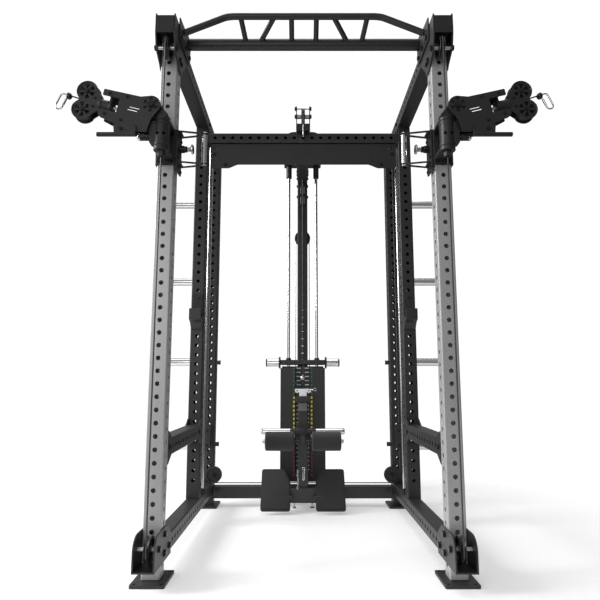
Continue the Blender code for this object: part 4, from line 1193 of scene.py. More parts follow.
@dataclass
class SideRails:
    """Base rails with their pulley cheeks, lower rails and their flared end plates."""

    low: float = 0.072
    lower: float = 0.448
    axle: Flat = (-0.854, 0.137)
    nose: float = 0.056

    def base(self) -> None:
        """Makes the base rails with round-nosed cheeks for the bottom pulleys."""
        top = self.low + TUBE
        start = FRONT + TUBE + 0.0003
        tube = box_tube(
            "base_rail_tube", (OUTER, start, self.low), (INNER, REAR, top), Axis.Y
        )
        count = int((REAR - start - 0.10) / PITCH)
        first = (POST, start + 0.075, self.low + HALF)
        SHOP.punch(tube, BLACK_COAT, first, (0, PITCH, 0), count, Axis.X)
        SHOP.both(tube, BLACK_COAT, stands_for=("base_rail",))
        back = FRONT + TUBE + 0.075
        outline = [(back, self.low - 0.004), (back, top + 0.004)]
        outline += [(FRONT + TUBE + 0.010, top + 0.050)]
        outline += [(FRONT - 0.010, self.axle[1] + self.nose)]
        outline += arc(self.axle, self.nose, 90, 180, 12)
        outline += [(self.axle[0] - self.nose, self.low - 0.004)]
        slots = [circle((FRONT + HALF, 0.168), 0.008, 20), circle((FRONT + HALF, 0.100), 0.008, 20)]
        outer, inner = OUTER - 0.0003, INNER + 0.0003
        outer_plate = plate("outer_cheek", outline, Axis.X, outer - PLATE, outer, slots)
        SHOP.both(outer_plate, BLACK_COAT)
        SHOP.both(plate("inner_cheek", outline, Axis.X, inner, inner + PLATE, slots), BLACK_COAT)
        bridge_high = (inner + PLATE / 2, FRONT - 0.001, self.low + 0.002)
        bridge_low = (outer - PLATE / 2, self.axle[0] - self.nose, self.low - 0.004)
        SHOP.both(block("cheek_bridge", bridge_low, bridge_high), BLACK_COAT)
        places = [self.axle, (FRONT + HALF, 0.168), (FRONT + HALF, 0.100)]
        places += [(FRONT + TUBE + 0.040, self.low + HALF)]
        inner_seats = [(inner + PLATE, *place) for place in places]
        SHOP.bolts("inner_cheek_bolts", inner_seats, Axis.X, 1, radius=0.0125)
        outer_seats = [(outer - PLATE, *place) for place in places]
        SHOP.bolts("outer_cheek_bolts", outer_seats, Axis.X, -1, radius=0.0125)
        axle_start = (outer - PLATE, *self.axle)
        SHOP.both(rod("bottom_axle", axle_start, (inner + PLATE, *self.axle), 0.008), ZINC)

    def upper(self) -> None:
        """Makes the lower rails between the front and middle posts."""
        start, end = FRONT + TUBE + 0.0003, MIDDLE - 0.0003
        low, high = self.lower, self.lower + TUBE
        tube = box_tube("lower_rail_tube", (OUTER, start, low), (INNER, end, high), Axis.Y)
        first = (POST, start + 0.085, low + HALF)
        count = int((end - start - 0.14) / PITCH)
        SHOP.punch(tube, BLACK_COAT, first, (0, PITCH, 0), count, Axis.X)
        SHOP.both(tube, BLACK_COAT, stands_for=("lower_rail",))
        flare = [(start, low - 0.030), (start + PLATE, low - 0.030), (start + 0.060, low + 0.001)]
        flare += [(start + 0.060, high - 0.001), (start + PLATE, high + 0.030)]
        flare += [(start, high + 0.030)]
        back = [(start + end - across, up) for across, up in flare]
        seats = []
        for label, outline in (("front", flare), ("back", back)):
            for where, inner in (("outer", OUTER), ("inner", INNER - PLATE)):
                made = plate(
                    f"lower_rail_{label}_{where}_flare", outline, Axis.X, inner - 0.0004, inner + PLATE + 0.0004
                )
                SHOP.both(made, BLACK_COAT)
        for across in (start + 0.032, end - 0.032):
            seats += [(INNER, across, low + HALF)]
        SHOP.bolts("lower_rail_bolts", seats, Axis.X, 1)
        outside = [(OUTER, across, up) for _, across, up in seats]
        SHOP.bolts("lower_rail_outer_bolts", outside, Axis.X, -1)

    def build(self) -> None:
        """Builds both pairs of rails."""
        self.base()
        self.upper()


@dataclass
class TopBeams:
    """Top side beams with their end caps, chevron plates and pulley axles."""

    axle: Flat = (-0.855, 2.115)
    nose: float = FRONT - 0.080
    cap: float = 0.076

    def chevrons(self) -> None:
        """Makes the chevron plates that clamp each beam to its front post."""
        nose, low, high = self.nose, TOP, BEAM_TOP
        outline = [
            (nose - PLATE, high + 0.008),
            (nose - PLATE, high - self.cap),
            (self.axle[0] - 0.018, self.axle[1] - 0.014),
            (FRONT - 0.006, low - 0.100),
            (FRONT + 0.010, low - 0.115),
            (FRONT + TUBE - 0.008, low - 0.115),
            (FRONT + TUBE + 0.010, low - 0.085),
            (FRONT + TUBE + 0.100, low),
            (FRONT + TUBE + 0.130, high + 0.008),
        ]
        outer, inner = OUTER - 0.0003, INNER + 0.0003
        SHOP.both(plate("outer_chevron", outline, Axis.X, outer - PLATE, outer), BLACK_COAT)
        SHOP.both(plate("inner_chevron", outline, Axis.X, inner, inner + PLATE), BLACK_COAT)
        places = [self.axle, (FRONT + HALF - 0.012, 2.105), (FRONT + HALF + 0.014, 2.105)]
        places += [(FRONT + HALF, high - HALF), (FRONT + TUBE + 0.070, high - HALF)]
        for label, seat, sense in (("inner", inner + PLATE, 1), ("outer", outer - PLATE, -1)):
            seats = [(seat, *place) for place in places]
            SHOP.bolts(f"{label}_chevron_bolts", seats, Axis.X, sense, radius=0.0125)
        axle_end = (inner + PLATE, *self.axle)
        SHOP.both(rod("top_axle", (outer - PLATE, *self.axle), axle_end, 0.008), ZINC)

    def build(self) -> None:
        """Builds the beams."""
        nose, back = self.nose, REAR + TUBE
        tube = box_tube(
            "top_beam_tube", (OUTER, nose, TOP), (INNER, back, BEAM_TOP), Axis.Y
        )
        first = (POST, FRONT + TUBE + 0.150, TOP + HALF)
        SHOP.punch(tube, BLACK_COAT, first, (0, PITCH, 0), 20, Axis.X)
        SHOP.both(tube, BLACK_COAT, stands_for=("top_beam",))
        front = rounded(
            (OUTER - PLATE / 2, BEAM_TOP - self.cap), (INNER + PLATE / 2, BEAM_TOP + 0.001), 0.005
        )
        SHOP.both(plate("top_beam_cap", front, Axis.Y, nose - PLATE, nose), BLACK_COAT)
        rim = rounded(
            (OUTER + 0.006, BEAM_TOP - self.cap + 0.010), (INNER - 0.006, BEAM_TOP - 0.009), 0.004
        )
        ring = [(x, nose - PLATE, z) for x, z in rim]
        SHOP.both(bent_rod("top_beam_cap_rim", ring, 0.0012, True, 2), BLACK_COAT)
        plug = rounded((OUTER + 0.0035, TOP + 0.0035), (INNER - 0.0035, BEAM_TOP - 0.0035), 0.003)
        SHOP.both(plate("top_beam_plug", plug, Axis.Y, back - 0.004, back - 0.0005), NYLON)
        places = [(MIDDLE + HALF, TOP + HALF), (REAR + HALF, TOP + HALF)]
        SHOP.bolts("beam_bolts", [(OUTER, *place) for place in places], Axis.X, -1)
        SHOP.bolts("beam_inner_bolts", [(INNER, *place) for place in places], Axis.X, 1)
        self.chevrons()


@dataclass
class PullUpBar:
    """Straight lower tube, cranked grip tube, struts and the end flanges."""

    straight: Flat = (FRONT + 0.160, 2.268)
    grip: Flat = (FRONT + 0.055, 2.335)
    radius: float = 0.026
    grip_radius: float = 0.0145
    strut_radius: float = 0.0115

    def build(self) -> None:
        """Builds the bar as one weldment."""
        flange_x = -INNER - PLATE - 0.0006
        low_y, low_z = self.straight
        grip_y, grip_z = self.grip
        reach = flange_x - PLATE - 0.001
        end_z = grip_z - 0.079
        pieces = [rod("bar", (-reach, low_y, low_z), (reach, low_y, low_z), self.radius, steps=40)]
        crank = [(-reach, end_z), (-0.345, grip_z - 0.004), (-0.315, grip_z)]
        crank += [(-x, z) for x, z in reversed(crank)]
        path = eased([(x, grip_y, z) for x, z in crank], 0.012)
        pieces.append(bent_rod("grip", path, self.grip_radius, sides=6))
        for top, foot in ((0.280, 0.262), (0.130, 0.205), (0.055, 0.055)):
            for flip in (-1, 1):
                start, end = (flip * foot, low_y, low_z), (flip * top, grip_y, grip_z)
                pieces.append(rod("strut", start, end, self.strut_radius))
        outline = [
            (FRONT - 0.020, TOP + 0.010),
            (FRONT - 0.020, end_z + 0.020),
            (FRONT + 0.085, end_z + 0.030),
            (FRONT + 0.140, low_z + 0.034),
            (FRONT + 0.195, low_z + 0.030),
            (FRONT + 0.195, TOP + 0.010),
        ]
        pieces.append(plate("flange", outline, Axis.X, -flange_x, -flange_x + PLATE))
        pieces.append(plate("flange", outline, Axis.X, flange_x - PLATE, flange_x))
        SHOP.add(join("pull_up_bar_weldment", *pieces), BLACK_COAT, "frame", ("pull_up_bar",))
        seats = [(-flange_x + PLATE, FRONT + y, TOP + 0.035) for y in (0.010, 0.090, 0.165)]
        SHOP.bolts("pull_up_bar_bolts", seats, Axis.X, 1)


@dataclass
class Crossbeam:
    """Punched crossbeam between the middle posts with the header panel under it."""

    def build(self) -> None:
        """Builds the crossbeam, its end plates, the panel and the bolts."""
        low, high = (Vector(corner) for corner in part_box("top_crossbeam"))
        depth, top = 0.058, low.z + 0.002 + 0.058
        base = low.z + 0.002
        tube = box_tube(
            "crossbeam_tube", (low.x, low.y, base), (high.x, low.y + depth, top), Axis.X
        )
        centre = (-0.50, low.y + depth / 2, base + depth / 2)
        SHOP.punch(tube, BLACK_COAT, centre, (PITCH, 0, 0), 21, Axis.Y)
        SHOP.add(tube, BLACK_COAT, "frame", ("top_crossbeam",))
        end = plate(
            "crossbeam_end",
            rounded((low.y + 0.0005, low.z), (high.y, high.z), 0.006),
            Axis.X,
            low.x,
            low.x + PLATE,
        )
        SHOP.both(end, BLACK_COAT)
        seats = [(low.x + PLATE, low.y + 0.035, high.z - 0.014)]
        SHOP.bolts("crossbeam_end_bolts", seats, Axis.X, 1, radius=0.010)
        self.header()

    def header(self) -> None:
        """Makes the header panel with deeper end lobes and a folded top flange."""
        low, high = (Vector(corner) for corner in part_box("header_panel"))
        reach, front = high.x, low.y
        lobe, straight, top = low.z, low.z + 0.023, high.z
        outline = [(-reach, top), (-reach, lobe + 0.012), (-reach + 0.010, lobe)]
        outline += [(-reach + 0.105, lobe), (-reach + 0.120, lobe + 0.006)]
        outline += [(-reach + 0.150, straight - 0.004), (-reach + 0.165, straight)]
        outline += [(-x, z) for x, z in reversed(outline)]
        gaps = []
        for flip in (-1, 1):
            middle = flip * (reach - 0.030)
            gaps.append(
                rounded((middle - 0.014, top - 0.030), (middle + 0.014, top - 0.018), 0.005)
            )
        panel = plate("header_face", outline, Axis.Y, front, front + 0.005, gaps)
        rolled = (-reach + 0.004, front + 0.0008, top - 0.005)
        flange = block("header_flange", rolled, (reach - 0.004, high.y, top - 0.0002))
        SHOP.add(join("header_panel_sheet", panel, flange), BLACK_COAT, "frame", ("header_panel",))
        places = [(-reach + 0.022, top - 0.060), (-reach + 0.085, lobe + 0.022)]
        seats = [(x, front, z) for x, z in places]
        SHOP.bolts("header_bolts", seats, Axis.Y, -1, radius=0.008)


@dataclass
class LowFrame:
    """Rear base beam, spine, mast foot, knee post, foot rests and the low pulley's fittings."""

    base: float = 0.048
    post: float = 0.060
    post_top: float = 0.690
    thick: float = PLATE

    def beams(self) -> None:
        """Makes the base beam, the spine, the foot and the stack tray."""
        low, high = (Vector(corner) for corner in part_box("low_frame"))
        top = self.base + TUBE
        beam = box_tube(
            "base_beam_tube", (low.x, REAR, self.base), (high.x, REAR + TUBE, top), Axis.X
        )
        SHOP.add(beam, BLACK_COAT, "frame", ("low_frame",))
        mast_y = MAST
        spine_low = (-HALF, REAR + TUBE, self.base + 0.001)
        spine_high = (HALF, mast_y + TUBE + 0.040, top - 0.001)
        SHOP.add(box_tube("base_spine", spine_low, spine_high, Axis.Y), BLACK_COAT)
        foot = rounded((-0.110, high.y - 0.140), (0.110, high.y), 0.010)
        holes = [circle((x, high.y - 0.020), 0.0055, 20) for x in (-0.085, 0.085)]
        SHOP.add(plate("mast_foot_plate", foot, Axis.Z, 0, 0.010, holes), BLACK_COAT)
        riser_low = (-HALF + 0.002, mast_y + 0.010, 0.010)
        riser = block("mast_riser", riser_low, (HALF - 0.002, mast_y + TUBE, self.base), 0.004)
        SHOP.add(riser, BLACK_COAT)
        shroud_low, shroud_high = (Vector(corner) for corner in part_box("stack_shroud"))
        tray_high = (shroud_high.x, shroud_high.y, shroud_low.z - 0.0003)
        tray_low = (shroud_low.x, shroud_low.y, top + 0.0003)
        SHOP.add(block("stack_tray", tray_low, tray_high, 0.003), BLACK_COAT)
        bracket_low = (-0.090, REAR - 0.135, self.base + 0.002)
        SHOP.add(block("knee_bracket", bracket_low, (0.090, REAR, 0.134), 0.004), BLACK_COAT)
        feet = [(0.0, 0.0), (0.013, 0.0), (0.016, 0.004), (0.013, 0.008), (0.007, 0.010)]
        feet += [(0.007, self.base + 0.002), (0.0, self.base + 0.002)]
        leveller = lathe("leveller", feet, (-0.055, REAR - 0.030, 0.0), (0, 0, 1), 20)
        SHOP.both(leveller, ZINC)
        ends = [(low.x + 0.030, REAR, self.base + HALF + 0.014)]
        SHOP.bolts("base_beam_bolts", ends, Axis.Y, -1, radius=0.010)

    def knee_post(self) -> None:
        """Makes the punched knee post with the clamp plate and blocks at its top."""
        half = self.post / 2
        middle = REAR - 0.090
        low = (-half, middle - half, self.base + TUBE)
        post = box_tube(
            "knee_post_tube", low, (half, middle + half, self.post_top), Axis.Z, corner=0.005
        )
        first = (0.0, middle, self.post_top - 0.040)
        SHOP.punch(post, BLACK_COAT, first, (0, 0, -0.025), 18, Axis.X, 0.007)
        SHOP.add(post, BLACK_COAT)
        front = middle - half
        face = rounded((-0.047, self.post_top - 0.014), (0.047, self.post_top + 0.008), 0.005)
        holes = [circle((x, self.post_top - 0.003), 0.004, 16) for x in (-0.034, 0.034)]
        clamp = plate("clamp_plate", face, Axis.Y, front - 0.010, front - 0.004, holes)
        tongue = rounded((-0.022, self.post_top - 0.036), (0.022, self.post_top - 0.012), 0.005)
        tail = plate("clamp_tongue", tongue, Axis.Y, front - 0.009, front - 0.0045)
        SHOP.add(join("knee_clamp", clamp, tail), BRUSHED)
        block_low = (-0.046, front - 0.030, self.post_top - 0.068)
        block_high = (0.046, front - 0.0004, self.post_top - 0.037)
        SHOP.add(block("knee_block", block_low, block_high, 0.004), BLACK_COAT)
        liner_low = (-0.025, front - 0.012, self.post_top - 0.122)
        liner_high = (0.025, front - 0.0004, self.post_top - 0.072)
        stud = rod(
            "clamp_stud",
            (0.044, front - 0.012, self.post_top + 0.002),
            (0.062, front - 0.012, self.post_top + 0.002),
            0.0045,
        )
        eye = bent_rod(
            "clamp_eye",
            oval((0.071, front - 0.012, self.post_top + 0.004), 0.020, 0.018, 0.0018),
            0.0018,
            True,
            2,
        )
        SHOP.add(join("clamp_pin", stud, eye), CHROME)
        SHOP.add(block("knee_liner", liner_low, liner_high, 0.003), GREY_LINER)

    def foot_rests(self) -> None:
        """Makes the two tilted foot rests with a grip mat on each."""
        foot_low, foot_high = Vector((REAR - 0.205, 0.020)), Vector((REAR - 0.070, 0.229))
        lean = foot_high - foot_low
        length = lean.length
        inner, outer = 0.072, 0.241
        corners = [(outer, 0.0), (outer, length), (inner + 0.040, length), (inner, length - 0.080)]
        corners += [(inner, 0.0)]
        outline = round_corners(corners, 0.016)
        turn = Matrix.Rotation(math.atan2(lean.y, lean.x), 4, "X")
        move = Matrix.Translation((0, foot_low.x, foot_low.y)) @ turn
        steel = plate("foot_rest", outline, Axis.Z, -self.thick / 2, self.thick / 2)
        steel.data.transform(move)
        centre = Vector((0.156, length / 2))
        inset = [tuple(centre + (Vector(point) - centre) * 0.90) for point in outline]
        mat = plate("foot_mat", inset, Axis.Z, self.thick / 2, self.thick / 2 + 0.003)
        mat.data.transform(move)
        strut_low = (0.060, REAR - 0.165, self.base + 0.020)
        strut = block("foot_strut", strut_low, (0.120, REAR - 0.120, self.base + 0.050), 0.003)
        for made, finish in ((steel, BLACK_COAT), (mat, RUBBER)):
            SHOP.both(mirror(made), finish)
        SHOP.both(mirror(strut), BLACK_COAT)

    def low_pulley(self) -> None:
        """Makes the low cable's carabiner, its eye and the chain beside it."""
        middle = REAR - 0.150
        flat = oval((0.0, 0.0, 0.0), 0.064, 0.030, 0.0030)
        path = [(0.004 + x * 0.35, middle + x, 0.205 + z) for x, _, z in flat]
        hook = bent_rod("low_carabiner", path, 0.0030, True)
        eye = bent_rod("low_eye", oval((0.004, middle, 0.243), 0.022, 0.016, 0.002), 0.002, True)
        SHOP.add(join("low_carabiner_set", hook, eye), CHROME)
        links = []
        for step in range(9):
            turn = Matrix.Rotation(math.pi / 2 * (step % 2), 4, "Z")
            link = bent_rod("link", oval((0, 0, 0), 0.015, 0.009, 0.0013), 0.0013, True, 2)
            place = (-0.030 - 0.002 * math.sin(step), middle + 0.005, 0.228 - step * 0.0115)
            link.data.transform(Matrix.Translation(place) @ turn)
            links.append(link)
        SHOP.add(join("low_chain", *links), ZINC)

    def build(self) -> None:
        """Builds the low frame."""
        self.beams()
        self.knee_post()
        self.foot_rests()
        self.low_pulley()


def oval(centre: Point, tall: float, wide: float, radius: float, tilt: float = 0.0) -> list[Point]:
    """Returns the centre line of an oval link that stands in a plane across Y.

    Args:
        centre: Its middle.
        tall: Outside height.
        wide: Outside width.
        radius: Radius of its wire.
        tilt: Turn in its plane, in radians.

    Returns:
        The points, for a closed wire.
    """
    half = wide / 2 - radius
    reach = tall / 2 - radius - half
    flat = arc((0, reach), half, 0, 180, 12) + arc((0, -reach), half, 180, 360, 12)
    cos, sin = math.cos(tilt), math.sin(tilt)
    return [
        (centre[0] + x * cos - z * sin, centre[1], centre[2] + x * sin + z * cos)
        for x, z in flat
    ]


def round_corners(outline: Sequence[Flat], reach: float, steps: int = 4) -> list[Flat]:
    """Rounds the corners of a closed outline.

    Args:
        outline: Its points.
        reach: How far from each corner the curve starts.
        steps: Segments of each curve.

    Returns:
        The rounded outline.
    """
    smooth = []
    count = len(outline)
    for index in range(count):
        before = Vector(outline[index - 1])
        corner = Vector(outline[index])
        after = Vector(outline[(index + 1) % count])
        near = min(reach, (before - corner).length * 0.45, (after - corner).length * 0.45)
        enter = corner + (before - corner).normalized() * near
        leave = corner + (after - corner).normalized() * near
        for step in range(steps + 1):
            part = step / steps
            smooth.append(tuple(enter.lerp(corner, part).lerp(corner.lerp(leave, part), part)))
    return smooth


@dataclass
class Mast:
    """Punched centre mast, top spine, rear crossbeam, lat bracket and the wheel behind."""

    spine_low: float = 2.1385
    spine_tall: float = 0.040
    axle_z: float = 2.226
    plate_x: float = 0.0395

    def bracket(self, label: str, middle: float) -> None:
        """Makes one pair of pulley plates with the axle, the keeper and their nuts.

        Args:
            label: Start of the pieces' names.
            middle: Place of the axle along the cage.
        """
        low, high = self.spine_low + 0.005, self.axle_z + 0.060
        outline = [
            (middle - 0.018, low),
            (middle - 0.018, high - 0.010),
            (middle - 0.008, high),
            (middle + 0.020, high),
            (middle + 0.030, high - 0.012),
            (middle + 0.030, low),
        ]
        inner = -self.plate_x + 0.005
        holes = [circle((middle + 0.006, low + 0.050), 0.006, 20)]
        side = plate(f"{label}_bracket", outline, Axis.X, -self.plate_x, inner, holes)
        SHOP.both(side, BLACK_COAT)
        reach = self.plate_x + 0.008
        axle = rod(
            f"{label}_axle", (-reach, middle, self.axle_z), (reach, middle, self.axle_z), 0.0078
        )
        keeper_at = (middle + 0.012, self.axle_z + 0.0535)
        keeper = rod(f"{label}_keeper", (-reach, *keeper_at), (reach, *keeper_at), 0.0044)
        SHOP.add(join(f"{label}_axles", axle, keeper), ZINC)
        spacer = sleeve(
            f"{label}_spacer", (inner, middle, self.axle_z), (
                -0.0105, middle, self.axle_z
            ), 0.013, 0.0079
        )
        SHOP.both(spacer, PALE_CABLE)
        seats = [(-self.plate_x, middle, self.axle_z), (-self.plate_x, *keeper_at)]
        SHOP.bolts(f"{label}_bracket_nuts", seats, Axis.X, -1, radius=0.0125)

    def build(self) -> None:
        """Builds the mast."""
        top = self.spine_low + self.spine_tall
        low = 0.048 + TUBE + 0.0006
        mast = box_tube("mast_tube", (-HALF, MAST, low), (HALF, MAST + TUBE, top), Axis.Z)
        SHOP.punch(mast, BLACK_COAT, (0.0, MAST + HALF, 2.083), (0, 0, -PITCH), 38, Axis.Y, 0.007)
        SHOP.add(mast, BLACK_COAT, "frame", ("centre_mast",))
        spine = box_tube(
            "top_spine", (-HALF, MIDDLE + 0.060, self.spine_low), (HALF, MAST, top), Axis.Y
        )
        SHOP.add(spine, BLACK_COAT)
        reach = -INNER - 0.0003
        cross = box_tube(
            "rear_crossbeam",
            (-reach, REAR + 0.005, self.spine_low + 0.026),
            (reach, REAR + TUBE - 0.005, top + 0.022),
            Axis.X,
        )
        SHOP.punch(cross, BLACK_COAT, (-0.45, REAR + HALF, top + 0.004), (PITCH, 0, 0), 7, Axis.Y)
        SHOP.punch(cross, BLACK_COAT, (0.15, REAR + HALF, top + 0.004), (PITCH, 0, 0), 7, Axis.Y)
        SHOP.add(cross, BLACK_COAT)
        base_low = (-0.036, LAT_Y - 0.012, self.spine_low)
        base = block("bracket_base", base_low, (0.036, MIDDLE + 0.062, top + 0.002), 0.003)
        SHOP.add(base, BLACK_COAT)
        flare = [
            (-0.080, self.spine_low),
            (-0.062, self.spine_low + 0.006),
            (-0.0370, self.spine_low + 0.007),
        ]
        flare.append((-0.0370, self.spine_low))
        SHOP.both(plate("beam_flare", flare, Axis.Y, MIDDLE + 0.001, MIDDLE + 0.045), BLACK_COAT)
        seats = [(-HALF, y, self.spine_low + 0.012) for y in (0.60, 0.66, 0.735)]
        seats += [(-HALF, MAST + HALF, z) for z in (2.130, 2.050)]
        SHOP.bolts("spine_side_bolts", seats, Axis.X, -1, radius=0.010)
        self.bracket("lat", LAT_Y)
        self.bracket("rear_lat", STACK_Y - 0.043)
        wheel = pulley_wheel(
            "rear_lat_wheel", (0, STACK_Y - 0.043, self.axle_z), Axis.X, 0.043, 0.008
        )
        SHOP.add(wheel, NYLON)
        rest_low = (-0.030, STACK_Y + 0.014, top)
        rest_high = (0.030, STACK_Y + 0.034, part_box("guide_rods")[1][2] - 0.0125)
        SHOP.add(block("rod_plate_rest", rest_low, rest_high, 0.002), BLACK_COAT)
        self.mast_top()

    def mast_top(self) -> None:
        """Makes the pale keeper strips at the top of the mast's front and the wheel behind it on its axle."""
        front = MAST
        for number, height in enumerate((2.061, 1.987), 1):
            low = (-0.0130, front - 0.005, height)
            strip = block(f"cable_keeper_{number}", low, (-0.0100, front, height + 0.053), 0.001)
            SHOP.both(strip, PALE_MARK)
        back = MAST + TUBE
        centre = (0, back + 0.020, 1.758)
        axle = rod("mast_wheel_axle", (0, back - 0.002, 1.758), (0, back + 0.038, 1.758), 0.0079)
        SHOP.add(axle, ZINC)
        wheel = pulley_wheel("mast_wheel", centre, Axis.Y, 0.056, 0.009)
        SHOP.add(wheel, NYLON, "stack_pulley", ("stack_pulley",))


def pulley_wheel(
    name: str, centre: Point, axis: Axis, radius: float, bore: float, wide: float = 0.020
) -> bpy.types.Object:
    """Makes a grooved pulley with a thinner web between its hub and its rim.

    Args:
        name: Name of the piece.
        centre: Its middle.
        axis: Its axle's axis.
        radius: Outside radius.
        bore: Radius of its bore.
        wide: Width of its rim.

    Returns:
        The wheel.
    """
    half, root, hub = wide / 2, radius - 0.006, bore + 0.006
    web = half * 0.45
    face = [(bore, half), (hub, half), (hub + 0.001, web), (root - 0.006, web)]
    face += [(root - 0.004, half), (radius - 0.0006, half), (radius, half - 0.0006)]
    groove = [(root + 0.002, half * 0.50), (root, half * 0.15), (root, -half * 0.15)]
    groove += [(root + 0.002, -half * 0.50)]
    back = [(across, -along) for across, along in reversed(face)]
    directions = {Axis.X: (1, 0, 0), Axis.Y: (0, 1, 0), Axis.Z: (0, 0, 1)}
    return lathe(name, face + groove + back, centre, directions[axis], 48, is_ring=True)


@dataclass
class WeightStack:
    """Plates on chrome rods, the top block with add-on horns, the cover and the selector."""

    pitch: float = 0.0265
    half_x: float = 0.135
    rod_x: float = 0.0935
    rod_radius: float = 0.0094
    resting: int = 0
    lifted: int = 3

    def plate_shape(self, name: str, low: float) -> bpy.types.Object:
        """Makes one weight plate with rounded edges and bores for the rods.

        Args:
            name: Name of the piece.
            low: Height of its underside.

        Returns:
            The plate.
        """
        outline = rounded((-self.half_x, STACK_LOW.y), (self.half_x, STACK_HIGH.y), 0.010, 3)
        holes = [
            circle((flip * self.rod_x, STACK_Y), self.rod_radius + 0.0011, 20)
            for flip in (-1, 1)
        ]
        high = low + self.pitch - 0.0006
        return plate(name, outline, Axis.Z, low, high, holes, 0.0022)

    def marks(self) -> None:
        """Makes the pale dashes on the plates and the coloured scale beside the slot."""
        front = STACK_LOW.y
        bottom = STACK_LOW.z
        total = self.resting + self.lifted
        for label, first, count, body in (
            ("resting", bottom, self.resting, "frame"),
            ("lifted", bottom + self.resting * self.pitch, self.lifted, "lift_stack"),
        ):
            for flip, side in ((-1, "left"), (1, "right")):
                inner, outer = sorted((flip * 0.014, flip * 0.040))
                low = (inner, front - 0.0006, first + 0.0105)
                dash = block(
                    f"{label}_dash_{side}", low, (outer, front + 0.0006, first + 0.0160), 0.0002
                )
                SHOP.row(dash, PALE_MARK, count, (0, 0, self.pitch), body)
        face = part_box("stack_shroud")[0][1]
        scale = (
            ("red", RED_MARK, 0, 6), ("yellow", YELLOW_MARK, 9, 10), ("green", GREEN_MARK, 19, 7)
        )
        for label, finish, first, count in scale:
            for flip, side in ((-1, "left"), (1, "right")):
                inner, outer = sorted((flip * 0.0515, flip * 0.0615))
                start = bottom + first * self.pitch
                low = (inner, face - 0.0006, start + 0.003)
                mark = block(
                    f"{label}_scale_{side}", low, (outer, face + 0.0006, start + 0.0185), 0.0002
                )
                SHOP.row(mark, finish, min(count, total - first), (0, 0, self.pitch))

    def plates(self) -> None:
        """Makes the resting plates and the lifted ones."""
        self.resting = round((STACK_HIGH.z - STACK_LOW.z) / self.pitch)
        rest = self.plate_shape("resting_plates", STACK_LOW.z)
        SHOP.row(rest, IRON, self.resting, (0, 0, self.pitch), "frame", ("weight_stack",))
        lifted_low = STACK_LOW.z + self.resting * self.pitch
        lifted = self.plate_shape("lifted_plates", lifted_low)
        SHOP.row(lifted, IRON, self.lifted, (0, 0, self.pitch), "lift_stack", ("lift_stack",))

    def top_block(self) -> None:
        """Makes the top block, its chrome add-on horns and their caps and flanges."""
        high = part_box("lift_stack")[1]
        top, reach = high.z - 0.015, 0.145
        low = high.z - 0.045
        outline = rounded((-reach, STACK_LOW.y - 0.010), (reach, STACK_HIGH.y), 0.006)
        holes = [
            circle((flip * self.rod_x, STACK_Y), self.rod_radius + 0.0011, 24)
            for flip in (-1, 1)
        ]
        SHOP.add(
            plate("top_block", outline, Axis.Z, low, top, holes, 0.0025), BLACK_COAT, "lift_stack"
        )
        bush = [
            (0.0107, 0.0),
            (0.0200, 0.0),
            (0.0200, 0.004),
            (0.0160, 0.006),
            (0.0160, 0.0148),
            (0.0107, 0.0148),
        ]
        SHOP.both(
            lathe("rod_bush", bush, (-self.rod_x, STACK_Y, top), (0, 0, 1), 28, True),
            NYLON,
            "lift_stack",
        )
        middle = (STACK_Y - 0.045, low + 0.013)
        start = (-reach, *middle)
        flange = [(0.0, 0.0), (0.038, 0.0), (0.038, 0.008), (0.035, 0.011), (0.0, 0.011)]
        SHOP.both(lathe("lift_flange", flange, start, (-1, 0, 0)), BLACK_COAT, "lift_stack")
        chrome = rod("lift_horn", start, (-reach - 0.088, *middle), 0.0255, steps=40)
        SHOP.both(chrome, CHROME, "lift_stack")
        cap = [(0.0, 0.086), (0.0262, 0.086), (0.0262, 0.092), (0.0235, 0.0948), (0.0, 0.0948)]
        SHOP.both(lathe("lift_horn_cap", cap, start, (-1, 0, 0)), NYLON, "lift_stack")
        seats = [
            (-0.060, STACK_LOW.y - 0.010, low + 0.015), (-0.110, STACK_LOW.y - 0.010, low + 0.015)
        ]
        SHOP.bolts("top_block_bolts", seats, Axis.Y, -1, "lift_stack", 0.007)

    def selector(self) -> None:
        """Makes the selector pin with its ball knob, eye and lanyard."""
        low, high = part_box("selector_pin")
        place = (0.0, low.y, (low.z + high.z) / 2)
        profile = [(0.0, 0.0), (0.008, 0.0006), (0.0128, 0.004), (0.0145, 0.010), (0.0145, 0.018)]
        profile += [
            (0.0128, 0.0235), (0.0085, 0.0262), (0.0048, 0.027), (0.0048, high.y - low.y - 0.001)
        ]
        profile += [(0.0038, high.y - low.y), (0.0, high.y - low.y)]
        knob = lathe("selector_knob", profile, place, (0, 1, 0), 32)
        SHOP.add(knob, CHROME, "selector_pin", ("selector_pin",))
        eye = bent_rod(
            "selector_eye",
            oval((0, place[1] + 0.006, place[2] + 0.016), 0.014, 0.011, 0.0015),
            0.0015,
            True,
            2,
        )
        SHOP.add(eye, CHROME, "selector_pin")
        top = (0.005, STACK_LOW.y - 0.0145, high.z + 0.072)
        path = eased(
            [
                top,
                (0.010, place[1] - 0.002, place[2] + 0.055),
                (0.0, place[1] + 0.005, place[2] + 0.022),
            ],
            0.02,
        )
        cord = bent_rod("selector_lanyard", path, 0.0016, sides=2)
        cord.data.materials.append(CABLE_JACKET.material())
        self.lanyard = (cord, top, (0.0, place[1] + 0.005, place[2] + 0.022))
        SHOP.add(cord, CABLE_JACKET, None)

